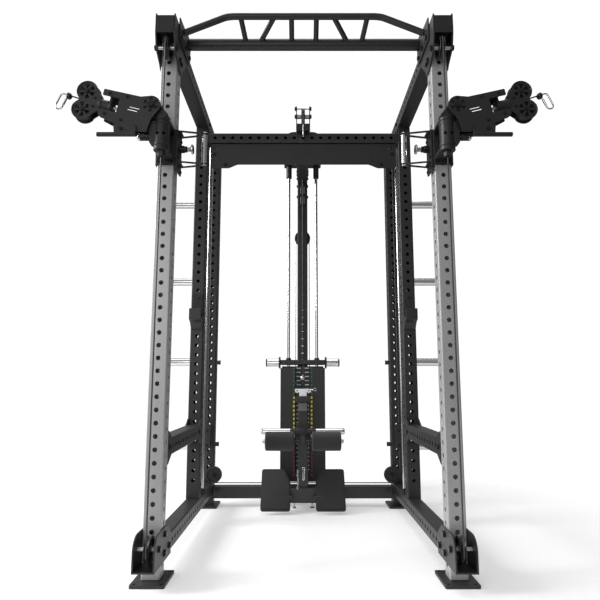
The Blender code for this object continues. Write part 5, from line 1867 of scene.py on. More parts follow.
    def rods(self) -> None:
        """Makes the guide rods with their sockets, rubber bumpers and top plate."""
        low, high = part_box("guide_rods")
        plate_low = high.z - 0.012
        gap_x, gap_y = 0.0492, STACK_Y + 0.010
        outline = [(low.x, low.y), (-gap_x, low.y), (-gap_x, gap_y), (gap_x, gap_y), (gap_x, low.y)]
        outline += [(high.x, low.y), (high.x, high.y), (low.x, high.y)]
        made = plate("rod_top_plate", round_corners(outline, 0.005), Axis.Z, plate_low, high.z)
        SHOP.add(made, BLACK_COAT)
        start = (-self.rod_x, STACK_Y, low.z)
        steel = rod(
            "guide_rod", start, (-self.rod_x, STACK_Y, high.z - 0.002), self.rod_radius, steps=32
        )
        other = mirror(bpy.data.objects.new("guide_rod", steel.data.copy()))
        SHOP.add(join("guide_rod_pair", steel, other), CHROME, "frame", ("guide_rods",))
        socket = [(self.rod_radius + 0.0003, 0.0), (0.017, 0.0), (0.019, 0.003), (0.019, 0.088)]
        socket += [(self.rod_radius + 0.0003, 0.088)]
        place = (-self.rod_x, STACK_Y, plate_low - 0.088)
        SHOP.both(lathe("rod_socket", socket, place, (0, 0, 1), 36, True), BLACK_BOLT)
        bumper = [(0.0, 0.0), (0.021, 0.0), (0.023, 0.004), (0.021, 0.0195), (0.0, 0.0195)]
        SHOP.both(
            lathe("rod_bumper", bumper, (-self.rod_x, STACK_Y, low.z - 0.020), (0, 0, 1)), RUBBER
        )

    def cover(self) -> None:
        """Makes the folded sheet cover with its slot."""
        low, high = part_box("stack_shroud")
        slot = 0.050
        side = [
            (low.x, low.y), (-slot, low.y), (-slot, low.y + 0.003), (low.x + 0.003, low.y + 0.003)
        ]
        side += [(low.x + 0.003, high.y), (low.x, high.y)]
        wing = plate("cover_wing", side, Axis.Z, low.z, high.z, edge=0.0006)
        SHOP.both(wing, BLACK_COAT)
        foot = rounded((-slot, low.z), (slot, low.z + 0.045), 0.0005, 1)
        face = plate("cover_foot", foot, Axis.Y, low.y, low.y + 0.003, edge=0.0005)
        SHOP.add(face, BLACK_COAT, "frame", ("stack_shroud",))
        seats = [(low.x + 0.014, low.y, z) for z in (0.165, 0.480, 0.800)]
        SHOP.bolts("cover_screws", seats, Axis.Y, -1, radius=0.005)

    def build(self) -> None:
        """Builds the stack."""
        self.plates()
        self.marks()
        self.top_block()
        self.selector()
        self.rods()
        self.cover()


@dataclass
class KneeUnit:
    """Sliding sleeve, chrome cross tube, shaft and the two foam rollers."""

    hole: float = 0.033
    roller: float = 0.053

    def build(self) -> None:
        """Builds the knee unit."""
        _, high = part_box("knee_carriage")
        middle = REAR - 0.090
        outer = self.hole + PLATE
        roller_low, roller_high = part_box("knee_roller_left")
        centre = ((roller_low.y + roller_high.y) / 2, (roller_low.z + roller_high.z) / 2)
        body = box_tube(
            "knee_sleeve",
            (-outer, middle - outer, centre[1] - 0.010),
            (outer, middle + outer, high.z),
            Axis.Z,
            PLATE,
            0.007,
        )
        SHOP.add(body, BLACK_COAT, "knee_carriage", ("knee_carriage",))
        cross = (middle - outer - 0.012, centre[1] + 0.048)
        tube = rod("knee_cross", (-0.236, *cross), (0.236, *cross), 0.0172, steps=32)
        SHOP.add(tube, CHROME, "knee_carriage")
        cap = [(0.0, 0.0), (0.0180, 0.0), (0.0180, 0.012), (0.0155, 0.0165), (0.0, 0.0165)]
        SHOP.both(
            lathe("knee_cross_cap", cap, (-0.2255, *cross), (-1, 0, 0)), CHROME, "knee_carriage"
        )
        saddle_low = (-0.020, middle - outer - 0.032, cross[1] - 0.024)
        saddle = block("knee_saddle", saddle_low, (0.020, middle - outer, cross[1] + 0.024), 0.004)
        arm_low = (-0.014, centre[0] - 0.013, centre[1] - 0.013)
        arm = block("knee_arm", arm_low, (0.014, middle - outer + 0.002, centre[1] + 0.030), 0.004)
        SHOP.add(join("knee_arm_set", saddle, arm), BLACK_COAT, "knee_carriage")
        shaft = rod("knee_shaft", (-0.219, *centre), (0.219, *centre), 0.0078)
        SHOP.add(shaft, BLACK_BOLT, "knee_carriage")
        wrap = sleeve("wrap", (-0.075, *cross), (0.075, *cross), 0.0185, 0.0172)
        SHOP.add(wrap, BLACK_COAT, "knee_carriage")
        disc = [(0.0, 0.0), (0.0135, 0.0), (0.0135, 0.006), (0.011, 0.009), (0.011, 0.013)]
        disc += [(0.009, 0.015), (0.0, 0.015)]
        SHOP.both(lathe("roller_end", disc, (-0.2165, *centre), (-1, 0, 0)), ZINC, "knee_carriage")
        long = roller_high.x - roller_low.x
        radius, bore = self.roller, 0.0095
        profile = [(bore, 0.0), (radius - 0.009, 0.0)]
        profile += [(radius - 0.009 + x, 0.009 + z) for x, z in arc((0, 0), 0.009, -90, 0, 5)]
        profile += [(radius + 0.0004, long / 2)]
        profile += [(across, long - along) for across, along in reversed(profile[:-1])]
        foam = lathe("foam_roller", profile, (roller_low.x, *centre), (1, 0, 0), 56, True)
        SHOP.both(foam, FOAM, "knee_roller", ("knee_roller",))


# ---- Cable arms ----------------------------------------------------------------------------
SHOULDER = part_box("shoulder_pulley_left")
SHOULDER_X = (SHOULDER[0].x + SHOULDER[1].x) / 2
SHOULDER_Z = (SHOULDER[0].z + SHOULDER[1].z) / 2
SWIVEL_Y = (SHOULDER[0].y + SHOULDER[1].y) / 2
TIP_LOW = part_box("tip_pulley_lower_left")
TIP_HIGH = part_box("tip_pulley_upper_left")
CABLE_X = (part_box("top_pulley_left")[0][0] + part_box("top_pulley_left")[1][0]) / 2
LEAN = math.radians(13.0)
DROP = 0.032


def arm_point(along: float, across: float) -> Flat:
    """Places a point of the left arm.

    Args:
        along: Distance from the shoulder, along the arm.
        across: Height above the arm's line.

    Returns:
        The point, as (X, Z).
    """
    out = along * math.cos(LEAN) - across * math.sin(LEAN)
    up = along * math.sin(LEAN) + across * math.cos(LEAN)
    return (SHOULDER_X - out, SHOULDER_Z + up)


def on_axis(along: float) -> Point:
    """Returns the point that far along the collar's axis."""
    x, z = arm_point(along, -DROP)
    return (x, SWIVEL_Y, z)


def windows(
    centre: Flat, inner: float, outer: float, count: int = 6, part: float = 0.62
) -> list[list[Flat]]:
    """Outlines a ring of wedge-shaped windows.

    Args:
        centre: Middle of the ring.
        inner: Radius that the windows start at.
        outer: Radius that they end at.
        count: How many there are.
        part: Share of the ring that is open.

    Returns:
        The outline of each window.
    """
    loops = []
    pitch = 360 / count
    for step in range(count):
        start = step * pitch + pitch * (1 - part) / 2
        end = start + pitch * part
        wedge = arc(centre, outer, start, end, 5)
        wedge += arc(centre, inner, end - pitch * 0.12, start + pitch * 0.12, 2)
        loops.append(round_corners(wedge, 0.002, 2))
    return loops


@dataclass
class Trolley:
    """Sleeve on the front post with the swivel lugs, the V plates, the grip and the pin."""

    low: float = 1.625
    high: float = 1.778
    hole: float = 0.0375
    ply: float = 0.005

    def build(self) -> None:
        """Builds the trolleys and their pins."""
        middle = FRONT + HALF
        outer = self.hole + self.ply
        near, far = POST + outer, POST - outer
        front, back = middle - outer, middle + outer
        skin = box_tube(
            "trolley_sleeve", (far, front, self.low), (
                near, back, self.high
            ), Axis.Z, self.ply, 0.007
        )
        SHOP.punch(
            skin, BLACK_COAT, (near - 0.0025, middle, 1.708), (0, 0, 0.01), 1, Axis.X, 0.0088, 0.012
        )
        SHOP.both(skin, BLACK_COAT, "trolley", ("trolley",))
        outline = round_corners(
            [
                (front, self.low - 0.023),
                (back, self.low - 0.023),
                (back, self.high + 0.004),
                (front, self.high + 0.004),
            ],
            0.010,
        )
        pin_at = (middle, 1.708)
        holes = [circle(pin_at, 0.0086, 24)]
        cheek = plate("trolley_cheek", outline, Axis.X, near, near + PLATE, holes)
        SHOP.both(cheek, BLACK_COAT, "trolley")
        seats = [
            (near + PLATE, y, z)
            for y in (front + 0.014, back - 0.014) for z in (1.618, 1.664, 1.752)
        ]
        SHOP.bolts("trolley_cheek_bolts", seats, Axis.X, 1, "trolley", 0.0065)
        seats = [(POST + x, front, z) for x in (-0.026, 0.026) for z in (1.642, 1.755)]
        SHOP.bolts("trolley_front_bolts", seats, Axis.Y, -1, "trolley", 0.0065)
        self.lugs(front)
        self.grip(near, front, back)
        self.pin(near)

    def lugs(self, front: float) -> None:
        """Makes the two lugs that hold the swivel barrel, and the nut below.

        Args:
            front: Front face of the sleeve.
        """
        head_low, head_high = 1.661, 1.765
        pieces = []
        for low, high in (
            (head_low - 0.018, head_low - 0.0003), (head_high + 0.0003, head_high + 0.014)
        ):
            ring = [(0.0095, low), (0.029, low), (0.031, low + 0.002), (0.031, high - 0.002)]
            ring += [(0.029, high), (0.0095, high)]
            turned = lathe("lug", ring, (CABLE_X, SWIVEL_Y, 0), (0, 0, 1), 40, True)
            neck_low = (CABLE_X - 0.007, SWIVEL_Y + 0.020, low)
            neck = block("neck", neck_low, (CABLE_X + 0.030, front + 0.001, high), 0.002)
            pieces += [turned, neck]
        foot = [(0.0095, 0.0), (0.014, 0.0), (0.016, 0.003), (0.016, 0.023), (0.0095, 0.023)]
        place = (CABLE_X, SWIVEL_Y, head_low - 0.040)
        pieces.append(lathe("foot", foot, place, (0, 0, 1), 6, True))
        SHOP.both(join("swivel_lugs", *pieces), BLACK_COAT, "trolley")

    def grip(self, near: float, front: float, back: float) -> None:
        """Makes the V plates with their windows and the chrome grip between them.

        Args:
            near: Inner face of the sleeve.
            front: Its front face.
            back: Its back face.
        """
        middle = FRONT + HALF
        grip_x = -0.420
        vee = [
            (near, front + 0.004),
            (grip_x - 0.010, middle - 0.016),
            (grip_x + 0.014, middle - 0.012),
            (grip_x + 0.014, middle + 0.012),
            (grip_x - 0.010, middle + 0.016),
            (near, back - 0.004),
        ]
        window = [
            (near + 0.018, middle - 0.024),
            (grip_x - 0.022, middle - 0.007),
            (grip_x - 0.022, middle + 0.007),
            (near + 0.018, middle + 0.024),
        ]
        plates = []
        for low in (self.low + 0.014, self.high - 0.006):
            holes = [round_corners(window, 0.004)]
            plates.append(
                plate("vee", round_corners(vee, 0.005), Axis.Z, low, low + self.ply, holes)
            )
        SHOP.both(join("vee_plates", *plates), BLACK_COAT, "trolley")
        bar_low, bar_high = self.low + 0.010, self.high + 0.003
        profile = [(0.0, 0.0), (0.0095, 0.0), (0.011, 0.0015), (0.011, 0.010)]
        profile += [(0.012, 0.012), (0.012, bar_high - bar_low - 0.012)]
        profile += [(0.011, bar_high - bar_low - 0.010), (0.011, bar_high - bar_low - 0.0015)]
        profile += [(0.0095, bar_high - bar_low), (0.0, bar_high - bar_low)]
        handle = lathe("trolley_grip", profile, (grip_x, middle, bar_low), (0, 0, 1))
        SHOP.both(handle, CHROME, "trolley")

    def pin(self, near: float) -> None:
        """Makes the threaded collar and the pin with its knurled neck and knob.

        Args:
            near: Inner face of the sleeve.
        """
        place = (near + PLATE, FRONT + HALF, 1.708)
        collar = [(0.0087, 0.0), (0.0150, 0.0), (0.0155, 0.001), (0.0155, 0.020), (0.0130, 0.022)]
        collar += [(0.0130, 0.031), (0.0122, 0.032), (0.0108, 0.032), (0.0108, 0.014)]
        collar += [(0.0087, 0.014)]
        SHOP.both(lathe("pin_collar", collar, place, (1, 0, 0), 24, True), BLACK_BOLT, "trolley")
        low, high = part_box("trolley_pin_left")
        start = (low.x, place[1], place[2])
        reach = high.x - low.x
        profile = [(0.0, 0.0), (0.0068, 0.0), (0.0079, 0.0012), (0.0079, reach - 0.0265)]
        profile += [(0.0095, reach - 0.0262)]
        for step in range(5):
            spot = reach - 0.025 + step * 0.0028
            profile += [(0.0100, spot), (0.0088, spot + 0.0014)]
        profile += [(0.0100, reach - 0.0105), (0.0180, reach - 0.0095), (0.0205, reach - 0.0075)]
        profile += [(0.0205, reach - 0.0030), (0.0185, reach - 0.0005), (0.0, reach)]
        pin = lathe("trolley_plunger", profile, start, (1, 0, 0), 28)
        SHOP.both(pin, CHROME, "trolley_pin", ("trolley_pin",))


@dataclass
class Swivel:
    """Hollow barrel on the cable's line with the bracket that carries the shoulder axle."""

    low: float = 1.661
    high: float = 1.765
    radius: float = 0.031

    def build(self) -> None:
        """Builds the swivel heads, their pop pins and the shoulder pulleys."""
        tall, radius = self.high - self.low, self.radius
        shell = [(0.022, 0.0), (radius - 0.002, 0.0), (radius, 0.002), (radius, 0.011)]
        shell += [
            (radius - 0.0016, 0.0125), (radius - 0.0016, tall - 0.0125), (radius, tall - 0.011)
        ]
        shell += [(radius, tall - 0.002), (radius - 0.002, tall), (0.022, tall)]
        barrel = lathe("swivel_barrel", shell, (CABLE_X, SWIVEL_Y, self.low), (0, 0, 1), 48, True)
        SHOP.punch(
            barrel, BLACK_COAT, (
                CABLE_X - 0.012, SWIVEL_Y - 0.026, self.low + 0.048
            ), (0.025, 0, 0), 2, Axis.Y, 0.0060, 0.03
        )
        SHOP.both(barrel, BLACK_COAT, "swivel_head", ("swivel_head",))
        over = self.high + 0.017
        outline = [
            (CABLE_X - radius + 0.011, self.low + 0.010),
            (CABLE_X - radius - 0.014, self.low + 0.010),
            (CABLE_X - radius - 0.014, self.low + 0.054),
            (SHOULDER_X - 0.046, self.low + 0.062),
            (SHOULDER_X - 0.050, self.low + 0.090),
            (SHOULDER_X - 0.020, SHOULDER_Z + 0.024),
            (SHOULDER_X + 0.010, SHOULDER_Z + 0.030),
            (SHOULDER_X + 0.066, SHOULDER_Z - 0.032),
            (SHOULDER_X + 0.062, over),
            (CABLE_X - radius - 0.004, over),
            (CABLE_X - radius - 0.004, self.high - 0.004),
            (CABLE_X - radius + 0.011, self.high - 0.004),
        ]
        smooth = round_corners(outline, 0.005)
        slot = rounded(
            (SHOULDER_X - 0.034, self.low + 0.072), (SHOULDER_X - 0.014, self.low + 0.092), 0.005
        )
        sides = []
        for low in (SWIVEL_Y - 0.021, SWIVEL_Y + 0.015):
            sides.append(plate("swivel_side", smooth, Axis.Y, low, low + PLATE, [slot]))
        web_low = (CABLE_X - radius - 0.014, SWIVEL_Y - 0.018, self.low + 0.010)
        web_high = (CABLE_X - radius + 0.008, SWIVEL_Y + 0.018, self.low + 0.050)
        sides.append(block("web", web_low, web_high, 0.003))
        SHOP.both(join("swivel_bracket", *sides), BLACK_COAT, "swivel_head")
        reach = 0.0385
        ends = (
            (SHOULDER_X, SWIVEL_Y - reach, SHOULDER_Z), (SHOULDER_X, SWIVEL_Y + reach, SHOULDER_Z)
        )
        SHOP.both(rod("shoulder_axle", *ends, 0.0079), ZINC, "swivel_head")
        for label, end, sense in (("front", ends[0], -1), ("back", ends[1], 1)):
            SHOP.bolts(f"shoulder_{label}_bolt", [end], Axis.Y, sense, "swivel_head", 0.012)
        self.pop_pin()
        wheel = pulley_wheel(
            "shoulder_wheel", (SHOULDER_X, SWIVEL_Y, SHOULDER_Z), Axis.Y, 0.036, 0.009
        )
        SHOP.both(wheel, NYLON, "shoulder_pulley", ("shoulder_pulley",))

    def pop_pin(self) -> None:
        """Makes the swivel's own pull pin: a steel ring and a knurled black grip."""
        start = (CABLE_X - self.radius - 0.0135, SWIVEL_Y, self.low + 0.041)
        ring = [(0.0, 0.040), (0.0135, 0.040), (0.0142, 0.041), (0.0142, 0.0475)]
        ring += [(0.0128, 0.0495), (0.0, 0.0495)]
        SHOP.both(lathe("pop_pin_ring", ring, start, (-1, 0, 0)), CHROME, "swivel_head")
        grip = [(0.0, 0.0), (0.0120, 0.0), (0.0140, 0.002)]
        for step in range(9):
            spot = 0.004 + step * 0.0038
            grip += [(0.0144, spot), (0.0134, spot + 0.0019)]
        grip += [(0.0144, 0.0385), (0.0130, 0.0402), (0.0, 0.0402)]
        SHOP.both(lathe("pop_pin_grip", grip, start, (-1, 0, 0), 32), NYLON, "swivel_head")


@dataclass
class Arm:
    """Two side plates on the shoulder axle, their spacers, the lever and its ear."""

    half: float = 0.033
    ply: float = 0.005

    def outline(self, is_front: bool) -> list[Flat]:
        """Returns a side plate's outline; the front one reaches further down by the swivel.

        Args:
            is_front: Whether this is the plate on the user's side.

        Returns:
            The outline, as (X, Z) points.
        """
        low, high = -DROP - 0.030, -DROP + 0.030
        points = [arm_point(0.197, 0.024), arm_point(0.047, 0.024), arm_point(0.030, 0.030)]
        turn = 215 if is_front else 250
        points += [arm_point(*place) for place in arc((0, 0), 0.038, 60, turn, 24)]
        if is_front:
            rest = [(-0.0155, -0.058), (-0.011, -0.113), (0.0235, -0.1190), (0.117, -0.1060)]
            rest += [(0.182, -0.095), (0.197, -0.080), (0.197, low)]
        else:
            rest = [
                (0.018, -0.112), (0.046, -0.116), (0.117, -0.102), (0.197, -0.080), (0.197, low)
            ]
        rest += [(0.126, low), (0.126, high), (0.197, high)]
        return round_corners(points + [arm_point(*place) for place in rest], 0.004)

    def slits(self) -> list[list[Flat]]:
        """Outlines the two long slits that lean along the plate.

        Returns:
            The outline of each slit.
        """
        loops = []
        for along, across in ((0.040, -0.0265), (0.046, -0.0380)):
            corners = [(along, across), (along + 0.040, across + 0.001)]
            corners += [(along + 0.040, across - 0.003), (along, across - 0.004)]
            loops.append([arm_point(*place) for place in corners])
        return loops

    def painted_shade_discs(self) -> None:
        """Makes the dark discs behind the shoulder windows, inside both plates: painted shade that darkens the
        windows where shade falls between the plates.
        """
        ring = [(0.0085, 0.0), (0.034, 0.0), (0.034, 0.003), (0.0085, 0.003)]
        for label, y in (
            ("front", SWIVEL_Y - self.half + 0.0006), ("back", SWIVEL_Y + self.half - 0.0036)
        ):
            disc = lathe(
                f"shoulder_{label}_disc", ring, (SHOULDER_X, y, SHOULDER_Z), (0, 1, 0), 40, True
            )
            SHOP.both(disc, NYLON, "arm")

    def build(self) -> None:
        """Builds the arms."""
        centre = (SHOULDER_X, SHOULDER_Z)
        cuts = [circle(centre, 0.009, 24)] + windows(centre, 0.017, 0.030) + self.slits()
        front_low = SWIVEL_Y - self.half - self.ply
        back_low = SWIVEL_Y + self.half
        front = plate(
            "arm_front_plate", self.outline(True), Axis.Y, front_low, front_low + self.ply, cuts
        )
        SHOP.both(front, BLACK_COAT, "arm", ("arm",))
        opening = [
            arm_point(*place)
            for place in ((0.060, -0.024), (0.120, -0.024), (0.120, 0.010), (0.060, 0.010))
        ]
        cuts = [circle(centre, 0.009, 24)] + windows(centre, 0.017, 0.030) + [
            round_corners(opening, 0.006)
        ]
        back = plate(
            "arm_back_plate", self.outline(False), Axis.Y, back_low, back_low + self.ply, cuts
        )
        SHOP.both(back, BLACK_COAT, "arm")
        low, high = -DROP - 0.036, -DROP + 0.036
        top_plate = [(0.066, 0.018), (0.190, 0.018), (0.190, 0.0235), (0.066, 0.0235)]
        wall = [(0.119, low), (0.1255, low), (0.1255, high), (0.119, high)]
        low_plate = [(0.078, -0.106), (0.116, -0.098), (0.116, -0.092), (0.078, -0.100)]
        inside = []
        for shape_points in (top_plate, wall, low_plate):
            points = [arm_point(*place) for place in shape_points]
            inner = (SWIVEL_Y - self.half + 0.0002, SWIVEL_Y + self.half - 0.0002)
            inside.append(plate("arm_spacer", points, Axis.Y, *inner))
        SHOP.both(join("arm_spacers", *inside), BLACK_COAT, "arm")
        places = [(0.036, -0.104), (0.100, 0.012), (0.170, 0.010), (0.170, -0.076), (0.100, -0.088)]
        for label, seat, sense in (("front", front_low, -1), ("back", back_low + self.ply, 1)):
            seats = []
            for place in places:
                x, z = arm_point(*place)
                seats.append((x, seat, z))
            SHOP.bolts(f"arm_{label}_bolts", seats, Axis.Y, sense, "arm", 0.0055)
        # Dark discs inside the plates are painted shade in the shoulder windows.
        self.painted_shade_discs()
        self.lever()

    def lever(self) -> None:
        """Makes the lever's rod, the ear that holds it, its bolt and its stem."""
        rod_y = SWIVEL_Y - self.half - self.ply - 0.010
        rod_z = 1.692
        profile = [(0.0, 0.0), (0.0075, 0.0), (0.0090, 0.002), (0.0090, 0.151), (0.0075, 0.153)]
        profile += [(0.0, 0.153)]
        handle = lathe("lever_rod", profile, (-0.655, rod_y, rod_z), (-1, 0, 0), 28)
        SHOP.both(handle, NYLON, "arm")
        ear = [(-0.660, 1.684), (-0.740, 1.684), (-0.745, 1.735), (-0.655, 1.722)]
        made = plate("lever_ear", round_corners(ear, 0.006), Axis.Y, rod_y - 0.004, rod_y + 0.003)
        SHOP.both(made, BLACK_COAT, "arm")
        SHOP.bolts("lever_bolt", [(-0.715, rod_y - 0.004, 1.716)], Axis.Y, -1, "arm", 0.007)
        post_start = (-0.700, rod_y, 1.722)
        stem = rod(
            "lever_stem", post_start, (-0.700, SWIVEL_Y - self.half - self.ply, 1.722), 0.006
        )
        SHOP.both(stem, BLACK_BOLT, "arm")


@dataclass
class Tip:
    """Collar, figure-eight covers with raised rims and the two tip pulleys."""

    cover: float = 0.043
    ply: float = 0.004

    def centres(self) -> list[Flat]:
        """Returns (X, Z) of the upper and the lower pulley."""
        boxes = (TIP_HIGH, TIP_LOW)
        return [((low.x + high.x) / 2, (low.z + high.z) / 2) for low, high in boxes]

    def build(self) -> None:
        """Builds the tips."""
        start, end = on_axis(0.157), on_axis(0.212)
        run = Vector(end) - Vector(start)
        profile = [(0.0, 0.0), (0.0235, 0.0), (0.026, 0.0025), (0.026, 0.010), (0.0247, 0.0115)]
        profile += [(0.0247, 0.042), (0.026, 0.0435), (0.026, run.length - 0.002)]
        profile += [(0.024, run.length), (0.0, run.length)]
        collar = lathe("tip_collar", profile, start, tuple(run), 44)
        SHOP.both(collar, BLACK_COAT, "tip_block", ("tip_block",))
        spindle = rod("tip_spindle", on_axis(0.1255), start, 0.0062)
        SHOP.both(spindle, ZINC, "tip_block")
        tip, spread = 0.269, 0.078
        upper, lower = (tip, -DROP + spread / 2), (tip, -DROP - spread / 2)
        outline = [(tip - 0.062, -DROP - 0.030)]
        outline += arc(lower, self.cover, -160, 55, 24)
        outline += arc(upper, self.cover, -55, 160, 24)
        outline += [(tip - 0.062, -DROP + 0.030)]
        flat = [arm_point(*place) for place in outline]
        cuts = []
        for centre in self.centres():
            cuts += windows(centre, 0.0135, 0.0305)
        covers = []
        for low in (SWIVEL_Y - 0.020, SWIVEL_Y + 0.016):
            covers.append(plate("cover", flat, Axis.Y, low, low + self.ply, cuts))
        rims = []
        for face in (SWIVEL_Y - 0.0205, SWIVEL_Y + 0.0205):
            for centre, start_turn, end_turn in ((upper, -20, 150), (lower, -150, 20)):
                ring = arc(centre, self.cover - 0.0028, start_turn, end_turn, 20)
                path = [(x, face, z) for x, z in (arm_point(*place) for place in ring)]
                rims.append(bent_rod("rim", path, 0.0030, sides=3))
        SHOP.both(join("tip_covers", *covers, *rims), BLACK_COAT, "tip_block")
        low, high = (SWIVEL_Y - 0.0158, SWIVEL_Y + 0.0158)
        web = [arm_point(tip - 0.061, v - DROP) for v in (-0.028, 0.028)]
        web += [arm_point(tip - 0.052, v - DROP) for v in (0.028, -0.028)]
        SHOP.both(plate("tip_web", web, Axis.Y, low, high), BLACK_COAT, "tip_block")
        self.fasteners()
        self.wheels()

    def fasteners(self) -> None:
        """Makes the pulley bolts and the small screws at the covers' waist."""
        seats = [(x, SWIVEL_Y - 0.0195, z) for x, z in self.centres()]
        SHOP.bolts("tip_front_bolts", seats, Axis.Y, -1, "tip_block", 0.0085)
        seats = [(x, SWIVEL_Y + 0.0195, z) for x, z in self.centres()]
        SHOP.bolts("tip_back_bolts", seats, Axis.Y, 1, "tip_block", 0.0085)
        small = []
        for along, across in ((0.232, 0.018), (0.232, -0.018)):
            x, z = arm_point(along, across - DROP)
            small.append((x, SWIVEL_Y - 0.020, z))
        SHOP.bolts("tip_screws", small, Axis.Y, -1, "tip_block", 0.0048)

    def wheels(self) -> None:
        """Makes the two tip pulleys on their axles."""
        for label, (x, z) in zip(("upper", "lower"), self.centres()):
            body = f"tip_pulley_{label}"
            wheel = pulley_wheel(f"tip_wheel_{label}", (x, SWIVEL_Y, z), Axis.Y, 0.036, 0.007)
            SHOP.both(wheel, NYLON, body, (body,))
            ends = ((x, SWIVEL_Y - 0.0195, z), (x, SWIVEL_Y + 0.0195, z))
            SHOP.both(rod(f"tip_axle_{label}", *ends, 0.0058), ZINC, "tip_block")


@dataclass
class Carabiner:
    """Ball stop on the cable's end with the oval snap link and its gate."""

    tall: float = 0.075
    wide: float = 0.034
    wire: float = 0.0033
    tilt: float = math.radians(-24)

    def build(self) -> None:
        """Builds the arms' carabiners and the lat one."""
        x, z = arm_point(0.345, -0.022)
        ball = [(0.0, -0.0118)]
        ball += [
            (0.0139 * math.cos(a), 0.0118 * math.sin(a))
            for a in (math.radians(t) for t in range(-60, 61, 15))
        ]
        ball += [(0.0, 0.0118)]
        stop = lathe("cable_stop", ball, (x, SWIVEL_Y, z), (1, 0, 0), 32)
        SHOP.both(stop, NYLON, "carabiner")
        centre = (x - 0.030, SWIVEL_Y, z - 0.022)
        path = oval(centre, self.tall, self.wide, self.wire, self.tilt)
        link = bent_rod("snap_link", path, self.wire, True, 5)
        gate = self.gate(centre, self.tilt)
        SHOP.both(join("snap_hook", link, gate), CHROME, "carabiner", ("carabiner",))
        low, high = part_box("lat_carabiner")
        middle = ((low.x + high.x) / 2, (low.y + high.y) / 2, (low.z + high.z) / 2)
        lat = bent_rod(
            "lat_link", oval((0, 0, 0), self.tall, self.wide, self.wire), self.wire, True, 5
        )
        bar = self.gate((0, 0, 0), 0.0)
        hook = join("lat_snap_hook", lat, bar)
        hook.data.transform(Matrix.Translation(middle) @ Matrix.Rotation(math.pi / 2, 4, "Z"))
        SHOP.add(hook, CHROME, "lat_carabiner", ("lat_carabiner",))

    def gate(self, centre: Point, tilt: float) -> bpy.types.Object:
        """Makes the gate's sleeve on one long side of the link.

        Args:
            centre: Middle of the link.
            tilt: Its turn in its plane, in radians.

        Returns:
            The sleeve.
        """
        offset = self.wide / 2 - self.wire
        cos, sin = math.cos(tilt), math.sin(tilt)
        ends = []
        for up in (-0.012, 0.014):
            ends.append(
                (
                    centre[0] + offset * cos - up * sin,
                    centre[1],
                    centre[2] + offset * sin + up * cos,
                )
            )
        return rod("gate", *ends, self.wire + 0.0012, steps=18)


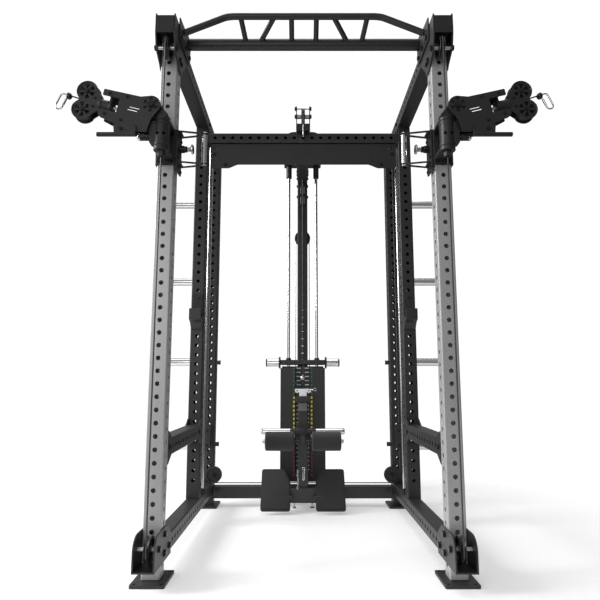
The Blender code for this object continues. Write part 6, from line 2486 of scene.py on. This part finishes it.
@dataclass
class Cables:
    """The taut cables, the column pulleys and their blocks and rods."""

    radius: float = 0.003
    strands: list[tuple] = field(default_factory=list)

    def strand(
        self, name: str, path: Sequence[Point], bodies: tuple[str, str], run: tuple[Point, Point]
    ) -> None:
        """Makes a taut strand between two bodies.

        Args:
            name: Name of the piece.
            path: Points of its centre line.
            bodies: The body at its fixed end and the one at its moving end. Kept with the strand, but not used.
            run: Where the strand would start to follow the second body, and where fully. Kept with the strand,
                but not used.
        """
        obj = bent_rod(name, path, self.radius, sides=3)
        obj.data.materials.append(CABLE_JACKET.material())
        SHOP.add(obj, CABLE_JACKET, None)
        self.strands.append((obj, bodies, run))

    def front(self) -> None:
        """Makes the front cables with their top and bottom pulleys."""
        wraps = []
        for node in ("top_pulley", "bottom_pulley"):
            low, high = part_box(f"{node}_left")
            centre = ((low.x + high.x) / 2, (low.y + high.y) / 2, (low.z + high.z) / 2)
            radius = (high.z - low.z) / 2
            wheel = pulley_wheel(f"{node}_wheel", centre, Axis.X, radius, 0.009)
            SHOP.both(wheel, NYLON, node, (node,))
            wraps.append((centre, radius - 0.006 + self.radius + 0.001))
        (top, top_r), (bottom, bottom_r) = wraps
        over = arc((top[1], top[2]), top_r, 60, 180, 16)
        under = arc((bottom[1], bottom[2]), bottom_r, 180, 300, 16)
        path = [(CABLE_X, y, z) for y, z in over + under]
        SHOP.both(
            bent_rod("front_cable", path, self.radius, sides=3),
            CABLE_JACKET,
            "frame",
            ("arm_cable",),
        )
        tip = on_axis(0.214)
        x, z = arm_point(0.345, -0.022)
        middle = arm_point(0.269, -DROP + 0.006)
        path = eased([tip, (middle[0], SWIVEL_Y, middle[1]), (x + 0.010, SWIVEL_Y, z)], 0.02)
        SHOP.both(bent_rod("tip_cable", path, self.radius, sides=3), CABLE_JACKET, "tip_block")

    def columns(self) -> None:
        """Makes the disc pulleys, the floating blocks and the rods of the side columns."""
        low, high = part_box("disc_pulley_left")
        centre = ((low.x + high.x) / 2, (low.y + high.y) / 2, (low.z + high.z) / 2)
        wheel = pulley_wheel("disc_wheel", centre, Axis.Y, (high.z - low.z) / 2, 0.009)
        SHOP.both(wheel, NYLON, "disc_pulley", ("disc_pulley",))
        start = (centre[0], low.y - 0.002, centre[2])
        SHOP.both(rod("disc_axle", start, (centre[0], REAR, centre[2]), 0.008), ZINC)
        SHOP.bolts("disc_bolts", [(centre[0], low.y - 0.002, centre[2])], Axis.Y, -1, radius=0.010)
        low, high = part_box("floating_block_left")
        column_x, tall = low.x + 0.019, high.z - low.z
        outline = round_corners(
            [(low.x, low.z), (high.x, low.z), (high.x, high.z), (low.x, high.z)], 0.008
        )
        sides = []
        for start_y in (low.y, high.y - 0.005):
            sides.append(plate("side", outline, Axis.Y, start_y, start_y + 0.005))
        core_low = (low.x + 0.003, low.y + 0.005, low.z + 0.002)
        core = block("core", core_low, (high.x - 0.003, high.y - 0.005, low.z + tall * 0.3), 0.002)
        SHOP.both(
            join("block_shell", *sides, core), BLACK_COAT, "floating_block", ("floating_block",)
        )
        middle = ((low.x + high.x) / 2, (low.y + high.y) / 2, high.z - 0.035)
        wheel = pulley_wheel("block_wheel", middle, Axis.Y, 0.0205, 0.005, 0.014)
        SHOP.both(wheel, NYLON, "floating_block")
        seats = [(middle[0], low.y, middle[2]), (middle[0], low.y, low.z + 0.020)]
        SHOP.bolts("block_bolts", seats, Axis.Y, -1, "floating_block", 0.0065)
        rod_x, rod_y = INNER - 0.002, MIDDLE + TUBE + 0.040
        column = rod("column_rod", (rod_x, rod_y, 0.1425), (rod_x, rod_y, TOP - 0.0003), 0.0065)
        SHOP.both(column, CHROME)
        foot = [
            (0.0067, 0.0),
            (0.012, 0.0),
            (0.013, 0.001),
            (0.013, 0.030),
            (0.012, 0.032),
            (0.0067, 0.032),
        ]
        SHOP.both(
            lathe("column_rod_foot", foot, (rod_x, rod_y, 0.1425), (0, 0, 1), 28, True), BLACK_BOLT
        )
        head = (rod_x, rod_y, TOP - 0.0325)
        SHOP.both(lathe("column_rod_head", foot, head, (0, 0, 1), 28, True), BLACK_BOLT)
        for side in Side:
            x = side.value * -column_x
            top, end = (x, middle[1], TOP - 0.001), (x, middle[1], high.z - 0.012)
            bodies = ("frame", side.name_of("floating_block"))
            name = side.name_of("column_cable")
            self.strand(name, [top, (x, middle[1], 1.3), end], bodies, (top, end))

    def long(self) -> None:
        """Makes the stack cable along the base and the three runs of the lat cable."""
        low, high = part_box("stack_cable")
        disc_low, disc_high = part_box("disc_pulley_left")
        disc_x, disc_z = (disc_low.x + disc_high.x) / 2, (disc_low.z + disc_high.z) / 2
        bend = disc_z - (low.z + self.radius)
        middle = (low.y + high.y) / 2
        left = [(disc_x - bend, middle, high.z)]
        left += [(x, middle, z) for x, z in arc((disc_x, disc_z), bend, 180, 270, 12)]
        path = left + [(-x, y, z) for x, y, z in reversed(left)]
        SHOP.add(
            bent_rod("base_cable", path, self.radius, sides=3),
            CABLE_JACKET,
            "frame",
            ("stack_cable",),
        )
        over, axle_z = 0.043, 2.226
        rear = STACK_Y - over
        crown = [(0, y, z) for y, z in arc((LAT_Y, axle_z), over, 180, 90, 12)]
        crown += [(0, y, z) for y, z in arc((rear, axle_z), over, 90, 0, 12)]
        SHOP.add(
            bent_rod("lat_cable_run", crown, self.radius, sides=3),
            CABLE_JACKET,
            "frame",
            ("lat_cable",),
        )
        front_y = LAT_Y - over
        top, end = (0, front_y, axle_z), (0, front_y, 2.152)
        self.strand("lat_cable_front", [top, end], ("frame", "lat_carabiner"), (top, end))
        top, end = (0, STACK_Y, axle_z), (0, STACK_Y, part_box("lat_cable")[0][2])
        self.strand(
            "lat_cable_rear", [top, (0, STACK_Y, 1.5), end], ("frame", "lift_stack"), (top, end)
        )
        for flip in (-1, 1):
            x = flip * 0.048
            y = MAST + TUBE + 0.020
            path = [(x, y, 1.758), (x, y, 0.200)]
            name = "mast_cable_left" if flip < 0 else "mast_cable_right"
            SHOP.add(bent_rod(name, path, 0.0028, sides=3), PALE_CABLE)
        front = MAST - 0.006
        path = [(0.0, front, 2.130), (0.0, front, 0.900)]
        SHOP.add(bent_rod("mast_front_cable", path, 0.0026, sides=3), PALE_CABLE)

    def build(self) -> None:
        """Builds every cable."""
        self.front()
        self.columns()
        self.long()

    def settle(self) -> None:
        """Bakes each strand's transform into its mesh, once their meshes are final."""
        for obj, (fixed, moving), (start, end) in self.strands:
            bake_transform(obj)


@dataclass
class Hooks:
    """J-hooks on the middle posts with lined cradles, and the band pegs."""

    def build(self) -> None:
        """Builds the hooks."""
        low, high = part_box("j_hook_left")
        back = high.y
        outline = [
            (back, low.z),
            (back, high.z),
            (back - 0.008, high.z),
            (back - 0.008, low.z + 0.065),
            (back - 0.062, low.z + 0.058),
            (back - 0.062, low.z + 0.105),
            (back - 0.072, low.z + 0.105),
            (back - 0.072, low.z + 0.046),
            (back - 0.040, low.z + 0.032),
            (back - 0.010, low.z),
        ]
        hook = plate("hook_body", round_corners(outline, 0.004), Axis.X, low.x, high.x, edge=0.0015)
        SHOP.both(hook, BLACK_COAT, "frame", ("j_hook",))
        liner = [
            (back - 0.0085, high.z - 0.010),
            (back - 0.0125, high.z - 0.010),
            (back - 0.0125, low.z + 0.0692),
            (back - 0.0575, low.z + 0.0628),
            (back - 0.0575, low.z + 0.103),
            (back - 0.0615, low.z + 0.103),
            (back - 0.0615, low.z + 0.0585),
            (back - 0.0085, low.z + 0.0652),
        ]
        SHOP.both(plate("hook_liner", liner, Axis.X, low.x + 0.006, high.x - 0.006), RUBBER)
        peg = [
            (0.0, 0.0),
            (0.0125, 0.0),
            (0.0125, 0.020),
            (0.0145, 0.021),
            (0.0145, 0.026),
            (0.0, 0.027),
        ]
        for number, height in enumerate((0.857, 0.364), 1):
            seat = (INNER, REAR + 0.014, height)
            SHOP.both(lathe(f"post_stop_{number}", peg, seat, (1, 0, 0), 28), NYLON)
        seats = [(POST, back - 0.0125, z) for z in (high.z - 0.030,)]
        SHOP.bolts("hook_bolts", seats, Axis.Y, -1, radius=0.006)


# ---- Studio --------------------------------------------------------------------------------
@dataclass
class Studio:
    """Pale floor, soft lights and the camera."""

    eye: Point = (-0.0176, -2.968, 0.7436)
    pitch: float = 0.1462
    focal: float = 550.0
    lift: float = 0.34

    def floor(self) -> None:
        """Makes the pale floor, which fades into the white backdrop."""
        shape = bmesh.new()
        bmesh.ops.create_grid(shape, x_segments=1, y_segments=1, size=2.4)
        obj = keep("studio_floor", shape)
        made = bpy.data.materials.new("studio floor")
        made.use_nodes = True
        nodes, links = made.node_tree.nodes, made.node_tree.links
        shader = nodes["Principled BSDF"]
        place = nodes.new("ShaderNodeTexCoord")
        reach = nodes.new("ShaderNodeVectorMath")
        reach.operation = "LENGTH"
        links.new(place.outputs["Object"], reach.inputs[0])
        fade = nodes.new("ShaderNodeMapRange")
        fade.interpolation_type = "SMOOTHSTEP"
        fade.inputs["From Min"].default_value = 1.0
        fade.inputs["From Max"].default_value = 2.3
        fade.inputs["To Min"].default_value = 1.0
        fade.inputs["To Max"].default_value = 0.0
        links.new(reach.outputs["Value"], fade.inputs["Value"])
        links.new(fade.outputs["Result"], shader.inputs["Alpha"])
        shader.inputs["Emission Color"].default_value = (1, 1, 1, 1)
        shader.inputs["Emission Strength"].default_value = self.lift
        shader.inputs["Base Color"].default_value = (0.80, 0.80, 0.80, 1)
        shader.inputs["Roughness"].default_value = 0.7
        obj.data.materials.append(made)

    def backdrop(self) -> None:
        """Makes the white backdrop and the graded light that the finishes reflect."""
        world = bpy.data.worlds.new("studio")
        world.use_nodes = True
        nodes, links = world.node_tree.nodes, world.node_tree.links
        graded = nodes["Background"]
        graded.inputs["Color"].default_value = (1, 1, 1, 1)
        white = nodes.new("ShaderNodeBackground")
        white.inputs["Color"].default_value = (1, 1, 1, 1)
        white.inputs["Strength"].default_value = 1.05
        place = nodes.new("ShaderNodeTexCoord")
        split = nodes.new("ShaderNodeSeparateXYZ")
        links.new(place.outputs["Generated"], split.inputs["Vector"])
        shades = []
        for axis, near, far, low, high in (
            ("X", -1.0, 1.0, 0.95, 0.24), ("Z", -0.2, 1.0, 0.40, 0.75)
        ):
            ramp = nodes.new("ShaderNodeMapRange")
            for key, value in zip(
                ("From Min", "From Max", "To Min", "To Max"), (near, far, low, high)
            ):
                ramp.inputs[key].default_value = value
            links.new(split.outputs[axis], ramp.inputs["Value"])
            shades.append(ramp)
        both = nodes.new("ShaderNodeMath")
        both.operation = "MULTIPLY"
        links.new(shades[0].outputs["Result"], both.inputs[0])
        links.new(shades[1].outputs["Result"], both.inputs[1])
        links.new(both.outputs["Value"], graded.inputs["Strength"])
        seen = nodes.new("ShaderNodeLightPath")
        mix = nodes.new("ShaderNodeMixShader")
        links.new(seen.outputs["Is Camera Ray"], mix.inputs["Fac"])
        links.new(graded.outputs["Background"], mix.inputs[1])
        links.new(white.outputs["Background"], mix.inputs[2])
        links.new(mix.outputs["Shader"], nodes["World Output"].inputs["Surface"])
        bpy.context.scene.world = world

    def light(self, name: str, place: Point, aim: Point, size: float, power: float) -> None:
        """Makes one soft area light.

        Args:
            name: Its name.
            place: Where it stands.
            aim: What it faces.
            size: Width of its panel.
            power: Its power in watts.
        """
        lamp = bpy.data.lights.new(name, "AREA")
        lamp.size = size
        lamp.energy = power
        obj = bpy.data.objects.new(name, lamp)
        obj.location = place
        obj.rotation_euler = (Vector(aim) - Vector(place)).to_track_quat("-Z", "Y").to_euler()
        bpy.context.scene.collection.objects.link(obj)

    def build(self) -> None:
        """Builds the studio and sets the camera."""
        scene = bpy.context.scene
        scene.view_settings.view_transform = "Standard"
        self.backdrop()
        self.floor()
        self.light("key", (-5.0, -1.2, 3.2), (0, 0, 1.0), 2.4, 330)
        self.light("top", (-0.3, 0.4, 4.8), (0, 0.2, 0), 3.0, 70)
        self.light("fill", (-1.0, -5.0, 1.6), (0, 0, 1.1), 2.0, 34)
        data = bpy.data.cameras.new("camera")
        data.sensor_width = 36.0
        data.lens = self.focal * 36.0 / 600.0
        camera = bpy.data.objects.new("camera", data)
        camera.location = self.eye
        camera.rotation_euler = (math.pi / 2 + self.pitch, 0, 0)
        scene.collection.objects.link(camera)
        scene.camera = camera


def main() -> None:
    """Builds the whole cage and its studio."""
    logging.basicConfig(level=logging.INFO, format="%(name)s: %(message)s")
    Studio().build()
    cables = Cables()
    stack = WeightStack()
    parts = (
        Posts(), SideRails(), TopBeams(), PullUpBar(), Crossbeam(), LowFrame(), Mast(), stack,
        KneeUnit(), Hooks(), Trolley(), Swivel(), Arm(), Tip(), Carabiner(), cables,
    )
    for part in parts:
        part.build()
    SHOP.dress_all()
    cables.settle()
    cord, top, end = stack.lanyard
    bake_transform(cord)
    for side in Side:
        bpy.data.objects[side.name_of("foam_roller")]


if __name__ == "__main__":
    main()
